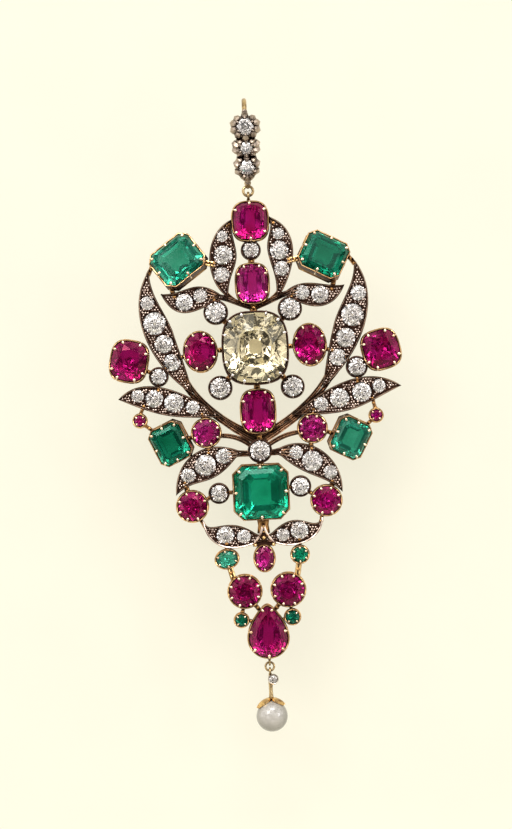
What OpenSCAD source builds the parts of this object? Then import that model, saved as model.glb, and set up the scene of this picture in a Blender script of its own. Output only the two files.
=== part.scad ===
// A gem-set pendant. A soldered frame of leaves, stems and collets carries the stones.
// It swings from a diamond-set bail, and a pearl drop hangs from its foot.
// Millimetres. +Z is up, the face looks along -Y, and the origin is the point inside
// the top of the bail where a chain bears. Depths are measured forward from the back plane.

/* [Frame] */
// Depth of a leaf, from its back to its rim
leaf_depth = 1.9; // [1.5:0.1:2.4]
// Height of a leaf's rim above the floor that holds its diamonds
rim_height = 0.2; // [0.1:0.05:0.35]
// Width of a leaf's rim
rim_width = 0.16; // [0.12:0.02:0.24]
// Thickness of a collet's wall
collet_wall = 0.22; // [0.18:0.02:0.3]
// Radius of a claw
claw_r = 0.16; // [0.14:0.01:0.2]
// Depth of a solder bar between two settings
bar_depth = 1.1; // [0.8:0.1:1.4]
// How far the back of the frame lies behind the bail's middle
back_at = 1.5; // [1.2:0.05:1.8]

/* [Stones] */
// Clearance between a stone and its seat
seat_gap = 0.05; // [0.04:0.01:0.08]
// Width of the table as a share of the stone
table_share = 0.56; // [0.5:0.02:0.64]
// Height of the crown as a share of the narrower width
crown_share = 0.17; // [0.12:0.01:0.2]
// Depth of the pavilion as a share of the narrower width
pavilion_share = 0.4; // [0.34:0.01:0.44]

/* [Bail] */
// Inner radius of the bail's loop
bail_inner_r = 3; // [2.9:0.05:3.2]
// Radius of the bail's gold wire
bail_wire_r = 0.34; // [0.28:0.02:0.4]
// Radius of the ring at the bail's foot, to the middle of its wire
foot_ring_r = 0.68; // [0.66:0.02:0.76]
// Radius of the wire of the small rings
ring_wire_r = 0.19; // [0.16:0.01:0.19]

/* [Drop] */
// Radius of the pearl
pearl_r = 2.2; // [2:0.1:2.3]
// Thickness of the cap over the pearl
cap_wall = 0.35; // [0.25:0.05:0.45]

/* [Hidden] */

// Columns of STONES
NAME = 0;
GEM = 1;
CUT = 2;
AT = 3;
SIZE = 4;
TURN = 5;
LEAN = 6;
CLAWS = 7;

// Every stone in a collet of its own: name, gem, cut, place, width and height, turn in the
// plane of the face, degrees that the setting leans outwards, and its number of claws
STONES = [
    ["top_ruby", "ruby", "cushion", [0.1, -16.55], [4.7, 5.2], 0, 0, 6],
    ["crown_diamond", "diamond", "round", [0, -20.6], [2.2, 2.2], 0, 0, 4],
    ["upper_ruby", "ruby", "cushion", [0, -25.3], [4.3, 5.3], 0, 0, 8],
    ["upper_emerald_left", "emerald", "octagon", [-10.35, -21.55], [6.5, 5.5], 36, 12, 8],
    ["upper_emerald_right", "emerald", "octagon", [10.2, -21.7], [6, 5.2], -27.5, 12, 8],
    ["centre_diamond", "diamond", "cushion", [0, -34.3], [8.8, 9.8], 0, 0, 12],
    ["corner_diamond_upper_left", "diamond", "round", [-5.3, -29.1], [2.85, 2.85], 0, 0, 6],
    ["corner_diamond_upper_right", "diamond", "round", [5.1, -29], [2.8, 2.8], 0, 0, 6],
    ["corner_diamond_lower_left", "diamond", "round", [-5.15, -39.7], [2.8, 2.8], 0, 0, 6],
    ["corner_diamond_lower_right", "diamond", "round", [5, -39.95], [2.75, 2.75], 0, 0, 6],
    ["inner_ruby_left", "ruby", "oval", [-7.7, -34.5], [4.3, 5.3], 4, 0, 8],
    ["inner_ruby_right", "ruby", "oval", [7.65, -34.2], [4.2, 5.5], 3, 0, 8],
    ["outer_ruby_left", "ruby", "cushion", [-17.75, -35.4], [4.9, 5.5], -12, 0, 8],
    ["outer_ruby_right", "ruby", "cushion", [17.6, -35.3], [4.9, 5.2], 14, 0, 8],
    ["side_diamond_left", "diamond", "round", [-13.7, -37.75], [2.15, 2.15], 0, 0, 4],
    ["side_diamond_right", "diamond", "round", [14.1, -37.6], [2.45, 2.45], 0, 0, 4],
    ["lower_ruby", "ruby", "cushion", [0, -43.2], [4.5, 5.8], 0, 0, 8],
    ["wing_ruby_left", "ruby", "round", [-7.4, -45.9], [3.7, 3.7], 0, 0, 8],
    ["wing_ruby_right", "ruby", "round", [7.5, -45.9], [3.7, 3.7], 0, 0, 8],
    ["wing_emerald_left", "emerald", "octagon", [-12.5, -47.2], [4.5, 5.2], 24.5, 8, 8],
    ["wing_emerald_right", "emerald", "octagon", [12.8, -47.5], [4.5, 5], -28, 8, 8],
    ["tip_ruby_left", "ruby", "round", [-16.6, -43.8], [1.5, 1.5], 0, 0, 4],
    ["tip_ruby_right", "ruby", "round", [16.5, -44.5], [1.5, 1.5], 0, 0, 4],
    ["knot_diamond", "diamond", "round", [0, -48.75], [2.8, 2.8], 0, 0, 6],
    ["main_emerald", "emerald", "octagon", [-0.1, -54.5], [7.3, 7.3], 0, 0, 8],
    ["flank_diamond_left", "diamond", "round", [-6, -54.45], [2.35, 2.35], 0, 0, 4],
    ["flank_diamond_right", "diamond", "round", [5.45, -53.95], [2.4, 2.4], 0, 0, 4],
    ["flank_ruby_left", "ruby", "round", [-9.8, -56.1], [4, 4], 0, 0, 8],
    ["flank_ruby_right", "ruby", "round", [9, -56.1], [3.9, 3.9], 0, 0, 8],
    ["drop_ruby_small", "ruby", "oval", [-0.05, -63.8], [2.5, 3.4], 0, 0, 6],
    ["drop_emerald_left", "emerald", "oval", [-5.3, -63.7], [2.9, 2.3], 12, 0, 6],
    ["drop_emerald_right", "emerald", "round", [4.95, -63.5], [2.1, 2.1], 0, 0, 6],
    ["twin_ruby_left", "ruby", "round", [-3, -68.35], [4.3, 4.3], 0, 0, 8],
    ["twin_ruby_right", "ruby", "round", [3.1, -68.35], [4.4, 4.4], 0, 0, 8],
    ["foot_emerald_left", "emerald", "round", [-3.65, -72.35], [1.6, 1.6], 0, 0, 4],
    ["foot_emerald_right", "emerald", "round", [3.5, -72.2], [1.8, 1.8], 0, 0, 4],
    ["pear_ruby", "ruby", "pear", [0, -74.05], [5.3, 7.1], 0, 0, 7],
];

// Columns of LEAVES
TIP = 1;
OUTER = 2;
INNER = 3;

// Every leaf: name, tip, then its two edges. An edge is one curve or two, each given by two
// handles and the point where it ends, down to the root
LEAVES = [
    ["crown_leaf_left", [-2.5, -16.2], [[-6.4, -17.7], [-6.9, -23.8], [-4.1, -26.6]],
        [[-2.8, -18], [-2, -19.6], [-2, -21.2], [-2, -22.9], [-3.3, -24.2], [-3.4, -26.7]]],
    ["crown_leaf_right", [2.7, -16], [[7.2, -17.8], [6.3, -22.9], [4.3, -26.3]],
        [[3.3, -17.6], [2.3, -18.9], [2.3, -20.3], [2.3, -22.3], [3.6, -24.2], [3.3, -26.7]]],
    ["brow_leaf_left", [-12.9, -26.2], [[-9.2, -26.5], [-8.1, -23.8], [-4.4, -26.7]],
        [[-10.8, -30.8], [-8, -28.7], [-4.7, -27.5]]],
    ["brow_leaf_right", [12.9, -26], [[10.2, -26.4], [7.4, -24.4], [4.7, -26.5]],
        [[11.3, -29.8], [8, -29.5], [5, -27.4]]],
    ["side_leaf_left", [-14.3, -22.6], [[-18.2, -28], [-15.1, -35.3], [-10.5, -39.3]],
        [[-14.7, -26], [-12.3, -28.7], [-11.4, -31.5], [-10.9, -33.5], [-9.9, -36.4], [-9.4, -38.5]]],
    ["side_leaf_right", [14.2, -22.3], [[18.4, -27.6], [15.1, -35.1], [10.5, -39.2]],
        [[14.9, -25.6], [11.8, -28.6], [11, -31.9], [10.5, -33.6], [9.9, -36.3], [9.5, -38.4]]],
    ["wing_leaf_left", [-19.5, -40.7], [[-15.8, -36.7], [-9.4, -40.5], [-5.8, -43.1]],
        [[-14.1, -43.2], [-12.6, -43.7], [-6.2, -43.8]]],
    ["wing_leaf_right", [20.2, -40.5], [[15.7, -37.1], [9.8, -40.1], [5.9, -43.1]],
        [[14.2, -43.2], [13.6, -44.3], [6.4, -44]]],
    ["arch_leaf_left", [-12, -54.5], [[-12.2, -49.4], [-7.8, -46.5], [-3.1, -48.5]],
        [[-9, -51.7], [-7.2, -54.1], [-3.4, -49.6]]],
    ["arch_leaf_right", [11.3, -55], [[11.8, -50.4], [7.2, -46.4], [2.8, -48.4]],
        [[9, -52.5], [6.5, -53], [3, -49.7]]],
    ["base_leaf_left", [-8.5, -58.2], [[-8, -62.1], [-4.7, -62.8], [-1.5, -61.7]],
        [[-7.4, -60.5], [-5.2, -57.3], [-1.2, -60.2]]],
    ["base_leaf_right", [8.4, -58.4], [[8.2, -61.7], [4.2, -62.8], [1.6, -61.7]],
        [[6.9, -60.8], [5.2, -56.5], [1.2, -60.2]]],
];

// Columns of LEAF_DIAMONDS
LEAF = 0;
PLACE = 1;
WIDE = 2;

// Every diamond set in a leaf: the leaf, the diamond's place and its diameter
LEAF_DIAMONDS = [
    ["crown_leaf_left", [-3.95, -18.5], 1.6],
    ["crown_leaf_left", [-3.9, -21.15], 2.7],
    ["crown_leaf_left", [-4.25, -23.85], 2.2],
    ["crown_leaf_right", [3.95, -18.45], 1.65],
    ["crown_leaf_right", [4, -20.8], 2.6],
    ["crown_leaf_right", [4.2, -23.4], 2.1],
    ["brow_leaf_left", [-9.65, -27.55], 2.45],
    ["brow_leaf_left", [-7.35, -26.65], 1.95],
    ["brow_leaf_right", [6.95, -26.85], 2],
    ["brow_leaf_right", [9.4, -27.25], 2.45],
    ["side_leaf_left", [-14.8, -27.4], 1.95],
    ["side_leaf_left", [-13.9, -30.3], 3.2],
    ["side_leaf_left", [-12.75, -33.25], 2.6],
    ["side_leaf_left", [-11.75, -35.85], 2.4],
    ["side_leaf_right", [14.75, -27.3], 2.15],
    ["side_leaf_right", [13.85, -30.3], 3.2],
    ["side_leaf_right", [12.7, -33.45], 2.75],
    ["side_leaf_right", [11.5, -36.15], 2.35],
    ["wing_leaf_left", [-16.75, -40.3], 1.8],
    ["wing_leaf_left", [-14.45, -40.8], 2.5],
    ["wing_leaf_left", [-11.7, -41.55], 2.75],
    ["wing_leaf_left", [-9.15, -42.25], 1.9],
    ["wing_leaf_right", [8.85, -42.6], 2],
    ["wing_leaf_right", [11.5, -41.85], 2.7],
    ["wing_leaf_right", [14.6, -41.2], 2.7],
    ["wing_leaf_right", [17.05, -40.4], 1.85],
    ["arch_leaf_left", [-10.2, -51.8], 2.1],
    ["arch_leaf_left", [-7.75, -50.45], 3],
    ["arch_leaf_left", [-5.1, -49.3], 2.2],
    ["arch_leaf_right", [5, -49.2], 1.95],
    ["arch_leaf_right", [7.25, -50.5], 2.9],
    ["arch_leaf_right", [9.7, -52.15], 1.95],
    ["base_leaf_left", [-5.35, -60.35], 2.5],
    ["base_leaf_left", [-2.8, -60.65], 1.95],
    ["base_leaf_right", [2.7, -60.6], 1.8],
    ["base_leaf_right", [5.05, -60.15], 2.5],
];

// Columns of STEMS
START = 0;
BEND = 1;
RIB_W = 2;
RIB_TOP = 3;

// Every rib of a stem: its start, two handles and its end, its width and the depth of its top
STEMS = [
    [[-9.6, -38.7], [[-7.8, -42.2], [-3.6, -45.2], [0.2, -46.7]], 0.6, 1.5],
    [[-10.1, -39.3], [[-8.2, -42.2], [-4.4, -45.6], [-0.1, -47.1]], 0.62, 1.3],
    [[-6.2, -43.4], [[-4.6, -44.8], [-2.6, -46.4], [-0.3, -47.6]], 0.7, 1.5],
    [[9.7, -38.7], [[7.8, -42], [3.8, -44.9], [-0.2, -46.7]], 0.6, 1.5],
    [[10.2, -39.3], [[8.3, -42], [4.6, -45.4], [0.1, -47.1]], 0.62, 1.3],
    [[6.2, -43.7], [[4.8, -44.8], [2.6, -46.3], [0.3, -47.6]], 0.7, 1.5],
    [[-5.4, -46.4], [[-4, -46.4], [-2.6, -46.8], [-1.2, -48]], 0.7, 1.4],
    [[5.5, -46.4], [[4, -46.5], [2.6, -47.1], [1.2, -48]], 0.7, 1.4],
    [[-5, -26.9], [[-3.6, -27.1], [-1.8, -28.2], [0.3, -28.8]], 0.8, 1.5],
    [[5, -26.8], [[3.6, -27.1], [1.8, -28.2], [-0.3, -28.8]], 0.8, 1.5],
    [[-3.8, -26.2], [[-3.5, -26.8], [-2.6, -27.6], [-1.6, -28.1]], 0.5, 1.3],
    [[3.8, -26.2], [[3.5, -26.8], [2.6, -27.6], [1.6, -28.1]], 0.5, 1.3],
    [[-3.4, -49.05], [[-2.8, -49], [-2, -49], [-1.2, -49.1]], 0.9, 1.5],
    [[3.1, -49.05], [[2.7, -49], [2, -49], [1.2, -49.1]], 0.9, 1.5],
];

// Columns of BARS
FROM = 0;
TO = 1;
WIDTH = 2;

// Every solder bar between two settings, or a setting and a leaf: its ends and its width
BARS = [
    [[-2.3, -16.6], [-3.3, -17.1], 0.6],
    [[2.5, -16.5], [3.4, -17], 0.6],
    [[0, -19.2], [0, -19.7], 0.9],
    [[0, -21.6], [0, -22.7], 0.9],
    [[0, -27.9], [0, -29.5], 1],
    [[-6.8, -22], [-5.2, -22.4], 0.7],
    [[-11.4, -25.1], [-11, -26.8], 0.7],
    [[-13.8, -22], [-14.5, -23.4], 0.6],
    [[6.8, -22], [5.2, -22.3], 0.7],
    [[11.5, -25], [11.1, -26.6], 0.7],
    [[13.4, -21.8], [14.4, -23.1], 0.6],
    [[-4.4, -30.1], [-3.4, -31.1], 0.8],
    [[4.2, -30.1], [3.4, -30.9], 0.8],
    [[-4.3, -38.8], [-3.4, -37.9], 0.8],
    [[4.2, -39.1], [3.4, -38.2], 0.8],
    [[-5.4, -28], [-5.6, -26.9], 0.6],
    [[5.3, -28], [5.6, -26.9], 0.6],
    [[-5.7, -34.4], [-4.4, -34.4], 0.7],
    [[5.7, -34.3], [4.4, -34.3], 0.7],
    [[-9.8, -35], [-11, -35.4], 0.6],
    [[9.6, -34.8], [10.9, -35.2], 0.6],
    [[-15.6, -36.7], [-14.5, -37.3], 0.6],
    [[15.4, -36.7], [14.8, -37.2], 0.6],
    [[-13.1, -37.1], [-12.3, -36.2], 0.6],
    [[13.4, -37], [12.4, -36.2], 0.6],
    [[-13.8, -38.7], [-13.8, -39.8], 0.6],
    [[14.1, -38.6], [14.1, -39.8], 0.6],
    [[-16.5, -42.9], [-15.9, -41.7], 0.5],
    [[16.4, -43.6], [16.1, -42], 0.5],
    [[-16, -44.4], [-14.7, -45.4], 0.5],
    [[15.9, -45.1], [14.8, -46], 0.5],
    [[-10.5, -46.6], [-9.1, -46.4], 0.6],
    [[10.7, -46.8], [9.2, -46.4], 0.6],
    [[-7.6, -44.2], [-7.8, -43.2], 0.7],
    [[7.6, -44.2], [7.8, -43.3], 0.7],
    [[-7.2, -47.6], [-7.2, -48.8], 0.7],
    [[7.2, -47.6], [7.2, -48.8], 0.7],
    [[0, -39.1], [0, -40.4], 0.9],
    [[0, -46], [0, -47.5], 0.9],
    [[0, -49.9], [0, -50.9], 1],
    [[-4.9, -54.4], [-3.6, -54.4], 0.6],
    [[4.4, -54], [3.5, -54], 0.6],
    [[-7, -54.8], [-8.2, -55.5], 0.6],
    [[6.4, -54.6], [7.4, -55.3], 0.6],
    [[-10.4, -54.1], [-10.6, -52.6], 0.7],
    [[9.8, -54.2], [10.1, -52.8], 0.7],
    [[-8.8, -57.9], [-8.2, -59], 0.5],
    [[8.4, -57.8], [8.1, -59], 0.5],
    [[0, -58.1], [0, -60.2], 1.5],
    [[-5.2, -62.7], [-5.2, -61.4], 0.6],
    [[4.9, -62.6], [4.9, -61.3], 0.6],
    [[-5, -64.7], [-4.5, -66.6], 0.6],
    [[4.8, -64.4], [4.4, -66.6], 0.6],
    [[-1.8, -70.1], [-0.9, -71.2], 0.6],
    [[1.8, -70.2], [0.9, -71.2], 0.6],
    [[-3.3, -70.4], [-3.5, -71.7], 0.5],
    [[3.3, -70.5], [3.4, -71.5], 0.5],
    [[-2.9, -72.3], [-1.8, -72.7], 0.5],
    [[2.7, -72.2], [1.7, -72.7], 0.5],
];

// Columns of BAIL_LOBES
LOBE_Z = 0;
LOBE_W = 1;
LOBE_UP = 2;
LOBE_DOWN = 3;
LOBE_TAPER = 4;
LOBE_STONE = 5;

// The bail's lobes: height up the bail, width, how far each reaches above and below the
// middle of its diamond, the share that its foot narrows by, and the width of the diamond
BAIL_LOBES = [
    [-3.55, 4.5, 1.75, 1.75, 0, 2.4],
    [-6, 4.2, 1.6, 1.6, 0, 1.9],
    [-8.65, 3.7, 1.5, 2.5, 0.45, 2.2],
];

// Steps along a curved edge and round a stone's outline, and facets of a round wire's path
edge_steps = 12;
rim_steps = 16;
wall_steps = 24;
round_fn = 48;

// Depths, measured forward from the back plane, and small parts of a setting
leaf_back = 0.2;
stem_back = 0.35;
bar_back = 0.45;
bracket_back = 0.6;
bracket_depth = 0.8;
bracket_top = [0, -59.4];
bracket_foot = [1.6, -62.1];
rail_top = [0.1, -59.2];
rail_foot = [1.45, -61.9];
rail_w = 0.3;
rail_rise = 0.15;
stone_back = 0.35;
girdle_h = 0.14;
lowest_girdle = 1.8;
leaf_girdle = 1.6;
ledge = 0.35;
opening_inset = 0.25;
claw_lean = 26;
claw_length = 0.68;
claw_root = 0.17;
claw_reach = 0.235;
over = 0.1;
seat_lap = 0.01;

// The middle of the face, from which leaning settings turn away
face_middle = [0, -36];

// The hinge is the lowest point of the ring at the bail's foot
foot_ring_z = -12.35;
hinge_z = foot_ring_z - foot_ring_r;
loop_gap = 0.06;
loop_r = 2 * ring_wire_r + loop_gap;
loop_foot = [0.5, 0.7, 0.5];

// The bail's loop: its top arc, and the two strands that meet at its foot
loop_centre_r = bail_inner_r + bail_wire_r;
loop_z = -bail_inner_r;
tail_z = -11.6;
strand_angle = asin(loop_centre_r / (loop_z - tail_z));
strand_length = (loop_z - tail_z) * cos(strand_angle);
strand_r = bail_wire_r - 0.02;
strand_lap = 0.3;
tail_block = [1.1, 0.9, 1.2];
lobe_back = 0.15;
lobe_girdle = 1.3;
lobe_power = 2.3;
flutes = 10;
flute_depth = 0.06;
flute_steps = 6;

// The pearl drop under the pear ruby
foot_loop_z = -78.3;
foot_loop_r = 0.42;
foot_block = [0.34, 0.6, 0.5];
drop_wire_r = 0.15;
drop_ring_r = 0.6;
drop_ring_z = foot_loop_z - foot_loop_r + 2 * drop_wire_r + loop_gap - drop_ring_r;
mount_loop_z = drop_ring_z - drop_ring_r + 2 * drop_wire_r + loop_gap - foot_loop_r;
drop_stone_x = 0.4;
drop_stone_z = -80.75;
drop_stone_w = 1.1;
drop_collet_r = 0.74;
drop_collet_h = 1;
drop_seat_back = 0.03;
drop_stem_r = 0.26;
pearl_z = -85.9;
pearl_gap = 0.06;
cap_top = pearl_z + pearl_r + pearl_gap + cap_wall / 2;
cap_lobe = [2.1, 1.1];
cap_reach = 0.95;

// A point on a Bezier curve, and the whole curve as a list of points
function curve_point(start, h, t) = pow(1 - t, 3) * start + 3 * pow(1 - t, 2) * t * h[0]
    + 3 * (1 - t) * t * t * h[1] + pow(t, 3) * h[2];
function curve(start, h) = [for (i = [0:edge_steps]) curve_point(start, h, i / edge_steps)];
function edge(start, h) = len(h) == 3 ? curve(start, h)
    : concat(curve(start, h), [for (i = [1:edge_steps]) curve_point(h[2], [h[3], h[4], h[5]], i / edge_steps)]);
function leaf_outline(leaf) = let(
    inner = edge(leaf[TIP], leaf[INNER])
) concat(edge(leaf[TIP], leaf[OUTER]), [for (i = [len(inner) - 1:-1:1]) inner[i]]);

// The unit vector square to a line at its point i, and a band of even width along the line
function across(line, i) = let(
    step = line[min(i + 1, len(line) - 1)] - line[max(i - 1, 0)]
) [-step[1], step[0]] / norm(step);
function band(line, width) = concat(
    [for (i = [0:len(line) - 1]) line[i] + across(line, i) * width / 2],
    [for (i = [len(line) - 1:-1:0]) line[i] - across(line, i) * width / 2]);

// Outlines of stones: a superellipse, a rectangle with cropped corners, and a drop
cushion_power = 2.9;
crop_share = 0.16;
crop_growth = 0.59;
pear_foot = 0.37;
pear_taper = 0.45;
function signed_power(v, power) = sign(v) * pow(abs(v), power);
function oval_point(a, w, h, power = 2) =
    [w / 2 * signed_power(cos(a), 2 / power), h / 2 * signed_power(sin(a), 2 / power)];
function octagon(w, h, crop) = [
    [w / 2, h / 2 - crop], [w / 2 - crop, h / 2], [crop - w / 2, h / 2], [-w / 2, h / 2 - crop],
    [-w / 2, crop - h / 2], [crop - w / 2, -h / 2], [w / 2 - crop, -h / 2], [w / 2, crop - h / 2]];
function pear_point(a, w, h) = [
    w / 2 * cos(a) * (1 - pear_taper * pow(max(sin(a), 0), 2)),
    h * (sin(a) * (sin(a) > 0 ? 1 - pear_foot : pear_foot) + pear_foot - 0.5)];
function outline(cut, size, grow, steps) = let(
    w = size[0] + 2 * grow,
    h = size[1] + 2 * grow,
    turn = 360 / steps
) cut == "octagon" ? octagon(w, h, crop_share * narrow(size) + crop_growth * grow)
    : cut == "pear" ? [for (i = [0:steps - 1]) pear_point(turn * i + 90, w, h)]
    : [for (i = [0:steps - 1]) oval_point(turn * i, w, h, cut == "cushion" ? cushion_power : 2)];
function scaled(line, share) = [for (p = line) p * share];

// The claws round a stone: where each stands on the outline, and the way that it faces
function claw_spots(cut, size, claws) = let(
    rim = outline(cut, size, 0, 2 * claws),
    n = len(rim),
    stride = n / claws
) [for (i = [0:claws - 1]) let(
    a = rim[(i * stride) % n],
    b = rim[(i * stride + stride) % n],
    at = stride == 1 ? (a + b) / 2 : rim[i * stride + 1]
) [at, atan2(a[0] - b[0], b[1] - a[1])]];

// Heights of a stone, from its narrower width
function narrow(size) = min(size[0], size[1]);
function pavilion_h(size) = narrow(size) * pavilion_share;
function crown_h(size) = narrow(size) * crown_share;
function girdle_at(size) = max(lowest_girdle, pavilion_h(size) + stone_back);

// Stands what is drawn in the plane of the face, with its depth as height, upright
module upright() translate([0, back_at, 0]) rotate([90, 0, 0]) children();
// Stands what is drawn as the bail's side view upright along Y
module side_on() rotate([90, 0, 90]) children();
// A wire ring, lying flat
module wire_ring(r, wire_r) rotate_extrude($fn = round_fn) translate([r, 0]) circle(wire_r, $fn = round_fn);

// Puts what is drawn round the origin, at girdle height, where a stone of STONES sits
module in_place(s) {
    away = s[AT] - face_middle;
    facing = atan2(away[1], away[0]);
    translate([s[AT][0], s[AT][1], girdle_at(s[SIZE])]) rotate(facing) rotate([0, s[LEAN], 0])
        rotate(s[TURN] - facing) children();
}

// A solid between flat outlines of one number of points, each at its own height
module stack(outlines, heights) {
    n = len(outlines[0]);
    last = len(outlines) - 1;
    points = [for (k = [0:last]) for (p = outlines[k]) [p[0], p[1], heights[k]]];
    sides = [for (k = [0:last - 1]) for (i = [0:n - 1]) let(j = (i + 1) % n)
        [k * n + n + i, k * n + n + j, k * n + j, k * n + i]];
    foot = [for (i = [0:n - 1]) i];
    top = [for (i = [n - 1:-1:0]) last * n + i];
    polyhedron(points, concat([foot], sides, [top]));
}

// A brilliant: table, stars, kites and halves above the girdle, kites and halves below
star_share = 0.8;
pavilion_star = 0.3;
module brilliant(cut, size) {
    rim = outline(cut, size, 0, rim_steps);
    crown = crown_h(size);
    depth = pavilion_h(size);
    eighth = [0:7];
    half_step = cos(22.5);
    star_h = girdle_h + crown * (1 - star_share * half_step) / (1 - table_share);
    star_depth = depth * (1 - pavilion_star * half_step);
    points = concat(
        [for (i = eighth) concat(rim[2 * i] * table_share, girdle_h + crown)],
        [for (i = eighth) concat(rim[2 * i + 1] * star_share, star_h)],
        [for (p = rim) concat(p, girdle_h)],
        [for (p = rim) concat(p, 0)],
        [for (i = eighth) concat(rim[2 * i + 1] * pavilion_star, -star_depth)],
        [[0, 0, -depth]]);
    star = 8;
    upper = 16;
    lower = 32;
    low_star = 48;
    culet = 56;
    polyhedron(points, concat(
        [[for (i = [7:-1:0]) i]],
        [for (i = eighth) [i, (i + 1) % 8, star + i]],
        [for (i = eighth) [i, star + i, upper + 2 * i]],
        [for (i = eighth) [i, upper + 2 * i, star + (i + 7) % 8]],
        [for (i = eighth) [upper + 2 * i + 1, upper + 2 * i, star + i]],
        [for (i = eighth) [upper + (2 * i + 2) % 16, upper + 2 * i + 1, star + i]],
        [for (j = [0:15]) let(k = (j + 1) % 16) [upper + j, upper + k, lower + k, lower + j]],
        [for (i = eighth) [lower + 2 * i, lower + 2 * i + 1, low_star + i]],
        [for (i = eighth) [lower + 2 * i + 1, lower + (2 * i + 2) % 16, low_star + i]],
        [for (i = eighth) [culet, low_star + (i + 7) % 8, lower + 2 * i]],
        [for (i = eighth) [culet, lower + 2 * i, low_star + i]]));
}

// A step cut: parallel steps down from the table, and down again to a small flat foot
module step_cut(size) {
    rim = outline("octagon", size, 0, rim_steps);
    crown = crown_h(size);
    depth = pavilion_h(size);
    shares = [0.12, 0.62, 1, 1, 0.84, 0.64];
    heights = [-depth, -depth * 0.55, 0, girdle_h, girdle_h + crown * 0.6, girdle_h + crown];
    stack([for (share = shares) scaled(rim, share)], heights);
}

// A single cut, for a small diamond: a table, eight facets above the girdle and eight below
culet_share = 0.1;
module single_cut(width) {
    rim = [for (i = [0:7]) oval_point(45 * i + 22.5, width, width)];
    heights = [-width * pavilion_share, 0, girdle_h, girdle_h + width * crown_share];
    stack([for (share = [culet_share, 1, 1, table_share]) scaled(rim, share)], heights);
}

// A stone of STONES, where it sits in its collet
module stone(s) color(s[GEM] == "ruby" ? "crimson" : s[GEM] == "emerald" ? "seagreen" : "ivory")
    upright() in_place(s) {
        if (s[CUT] == "octagon") step_cut(s[SIZE]);
        else brilliant(s[CUT], s[SIZE]);
    }

// The diamonds of one leaf
module leaf_diamonds(leaf) color("white") upright() {
    for (d = LEAF_DIAMONDS) if (d[LEAF] == leaf)
        translate([d[PLACE][0], d[PLACE][1], leaf_girdle]) single_cut(d[WIDE]);
}

// The wall of a collet, its girdle at the origin, with claws that lean in over the stone
module collet(cut, size, claws) {
    base = girdle_at(size);
    translate([0, 0, -base]) linear_extrude(base + girdle_h)
        polygon(outline(cut, size, seat_gap + collet_wall, wall_steps));
    for (spot = claw_spots(cut, size, claws))
        translate([spot[0][0], spot[0][1], girdle_h]) rotate(spot[1])
            translate([claw_reach, 0, 0]) rotate([0, -claw_lean, 0])
                translate([0, 0, -claw_root]) cylinder(h = claw_length, r = claw_r, $fn = round_fn);
}

// What a stone takes out of the metal: its seat, and the opening behind it
module seat(cut, size, girdle) {
    translate([0, 0, -ledge]) linear_extrude(ledge + girdle_h + seat_lap)
        polygon(outline(cut, size, seat_gap, wall_steps));
    translate([0, 0, -girdle - 1]) linear_extrude(girdle + 1)
        polygon(outline(cut, size, -opening_inset, wall_steps));
}

// A leaf: a plate with a raised rim
module leaf(row) difference() {
    translate([0, 0, leaf_back]) linear_extrude(leaf_depth - leaf_back) polygon(leaf_outline(row));
    translate([0, 0, leaf_depth - rim_height]) linear_extrude(rim_height + over)
        offset(delta = -rim_width) polygon(leaf_outline(row));
}

// What the diamonds in the leaves take out of the metal
module leaf_seats() for (d = LEAF_DIAMONDS) translate([d[PLACE][0], d[PLACE][1], leaf_girdle]) {
    translate([0, 0, -ledge]) cylinder(h = leaf_depth, d = d[WIDE] + 2 * seat_gap, $fn = round_fn);
    translate([0, 0, -leaf_depth]) cylinder(h = leaf_depth, d = d[WIDE] - 2 * ledge, $fn = round_fn);
}

module stems() for (row = STEMS)
    translate([0, 0, stem_back]) linear_extrude(row[RIB_TOP] - stem_back)
        polygon(band(curve(row[START], row[BEND]), row[RIB_W]));

module bars() for (row = BARS)
    translate([0, 0, bar_back]) linear_extrude(bar_depth) polygon(band([row[FROM], row[TO]], row[WIDTH]));

// The bracket between the two lower leaves: a small plate, edged by two rails
module bracket() {
    translate([0, 0, bracket_back]) linear_extrude(bracket_depth)
        polygon([bracket_top, [-bracket_foot[0], bracket_foot[1]], bracket_foot]);
    for (side = [-1, 1]) translate([0, 0, bar_back]) linear_extrude(bar_depth + rail_rise)
        polygon(band([[side * rail_top[0], rail_top[1]], [side * rail_foot[0], rail_foot[1]]], rail_w));
}

// The loop on top of the frame that the bail's ring holds, and the one at its foot
module frame_loops() {
    translate([0, 0, hinge_z]) side_on() wire_ring(loop_r, ring_wire_r);
    translate([0, 0, hinge_z - loop_r - loop_foot[2] / 2]) cube(loop_foot, center = true);
    translate([0, 0, foot_loop_z]) side_on() wire_ring(foot_loop_r, drop_wire_r);
    translate([0, 0, foot_loop_z + foot_loop_r]) cube(foot_block, center = true);
}

// The soldered frame, with every seat cut through it
module frame() color("saddlebrown") {
    difference() {
        upright() {
            for (row = LEAVES) leaf(row);
            stems();
            bars();
            bracket();
            for (s = STONES) in_place(s) collet(s[CUT], s[SIZE], s[CLAWS]);
        }
        upright() {
            leaf_seats();
            for (s = STONES) in_place(s) seat(s[CUT], s[SIZE], girdle_at(s[SIZE]));
        }
    }
    frame_loops();
}

// Puts what is drawn round the origin on the front of the bail, at a height z, facing square to it
module on_bail(z) {
    slanted = z < loop_z - loop_centre_r * sin(strand_angle);
    y = slanted ? (z - tail_z) * tan(strand_angle) : sqrt(pow(loop_centre_r, 2) - pow(z - loop_z, 2));
    translate([0, -y, z]) rotate([90 + (slanted ? strand_angle : 0), 0, 0]) children();
}

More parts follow.
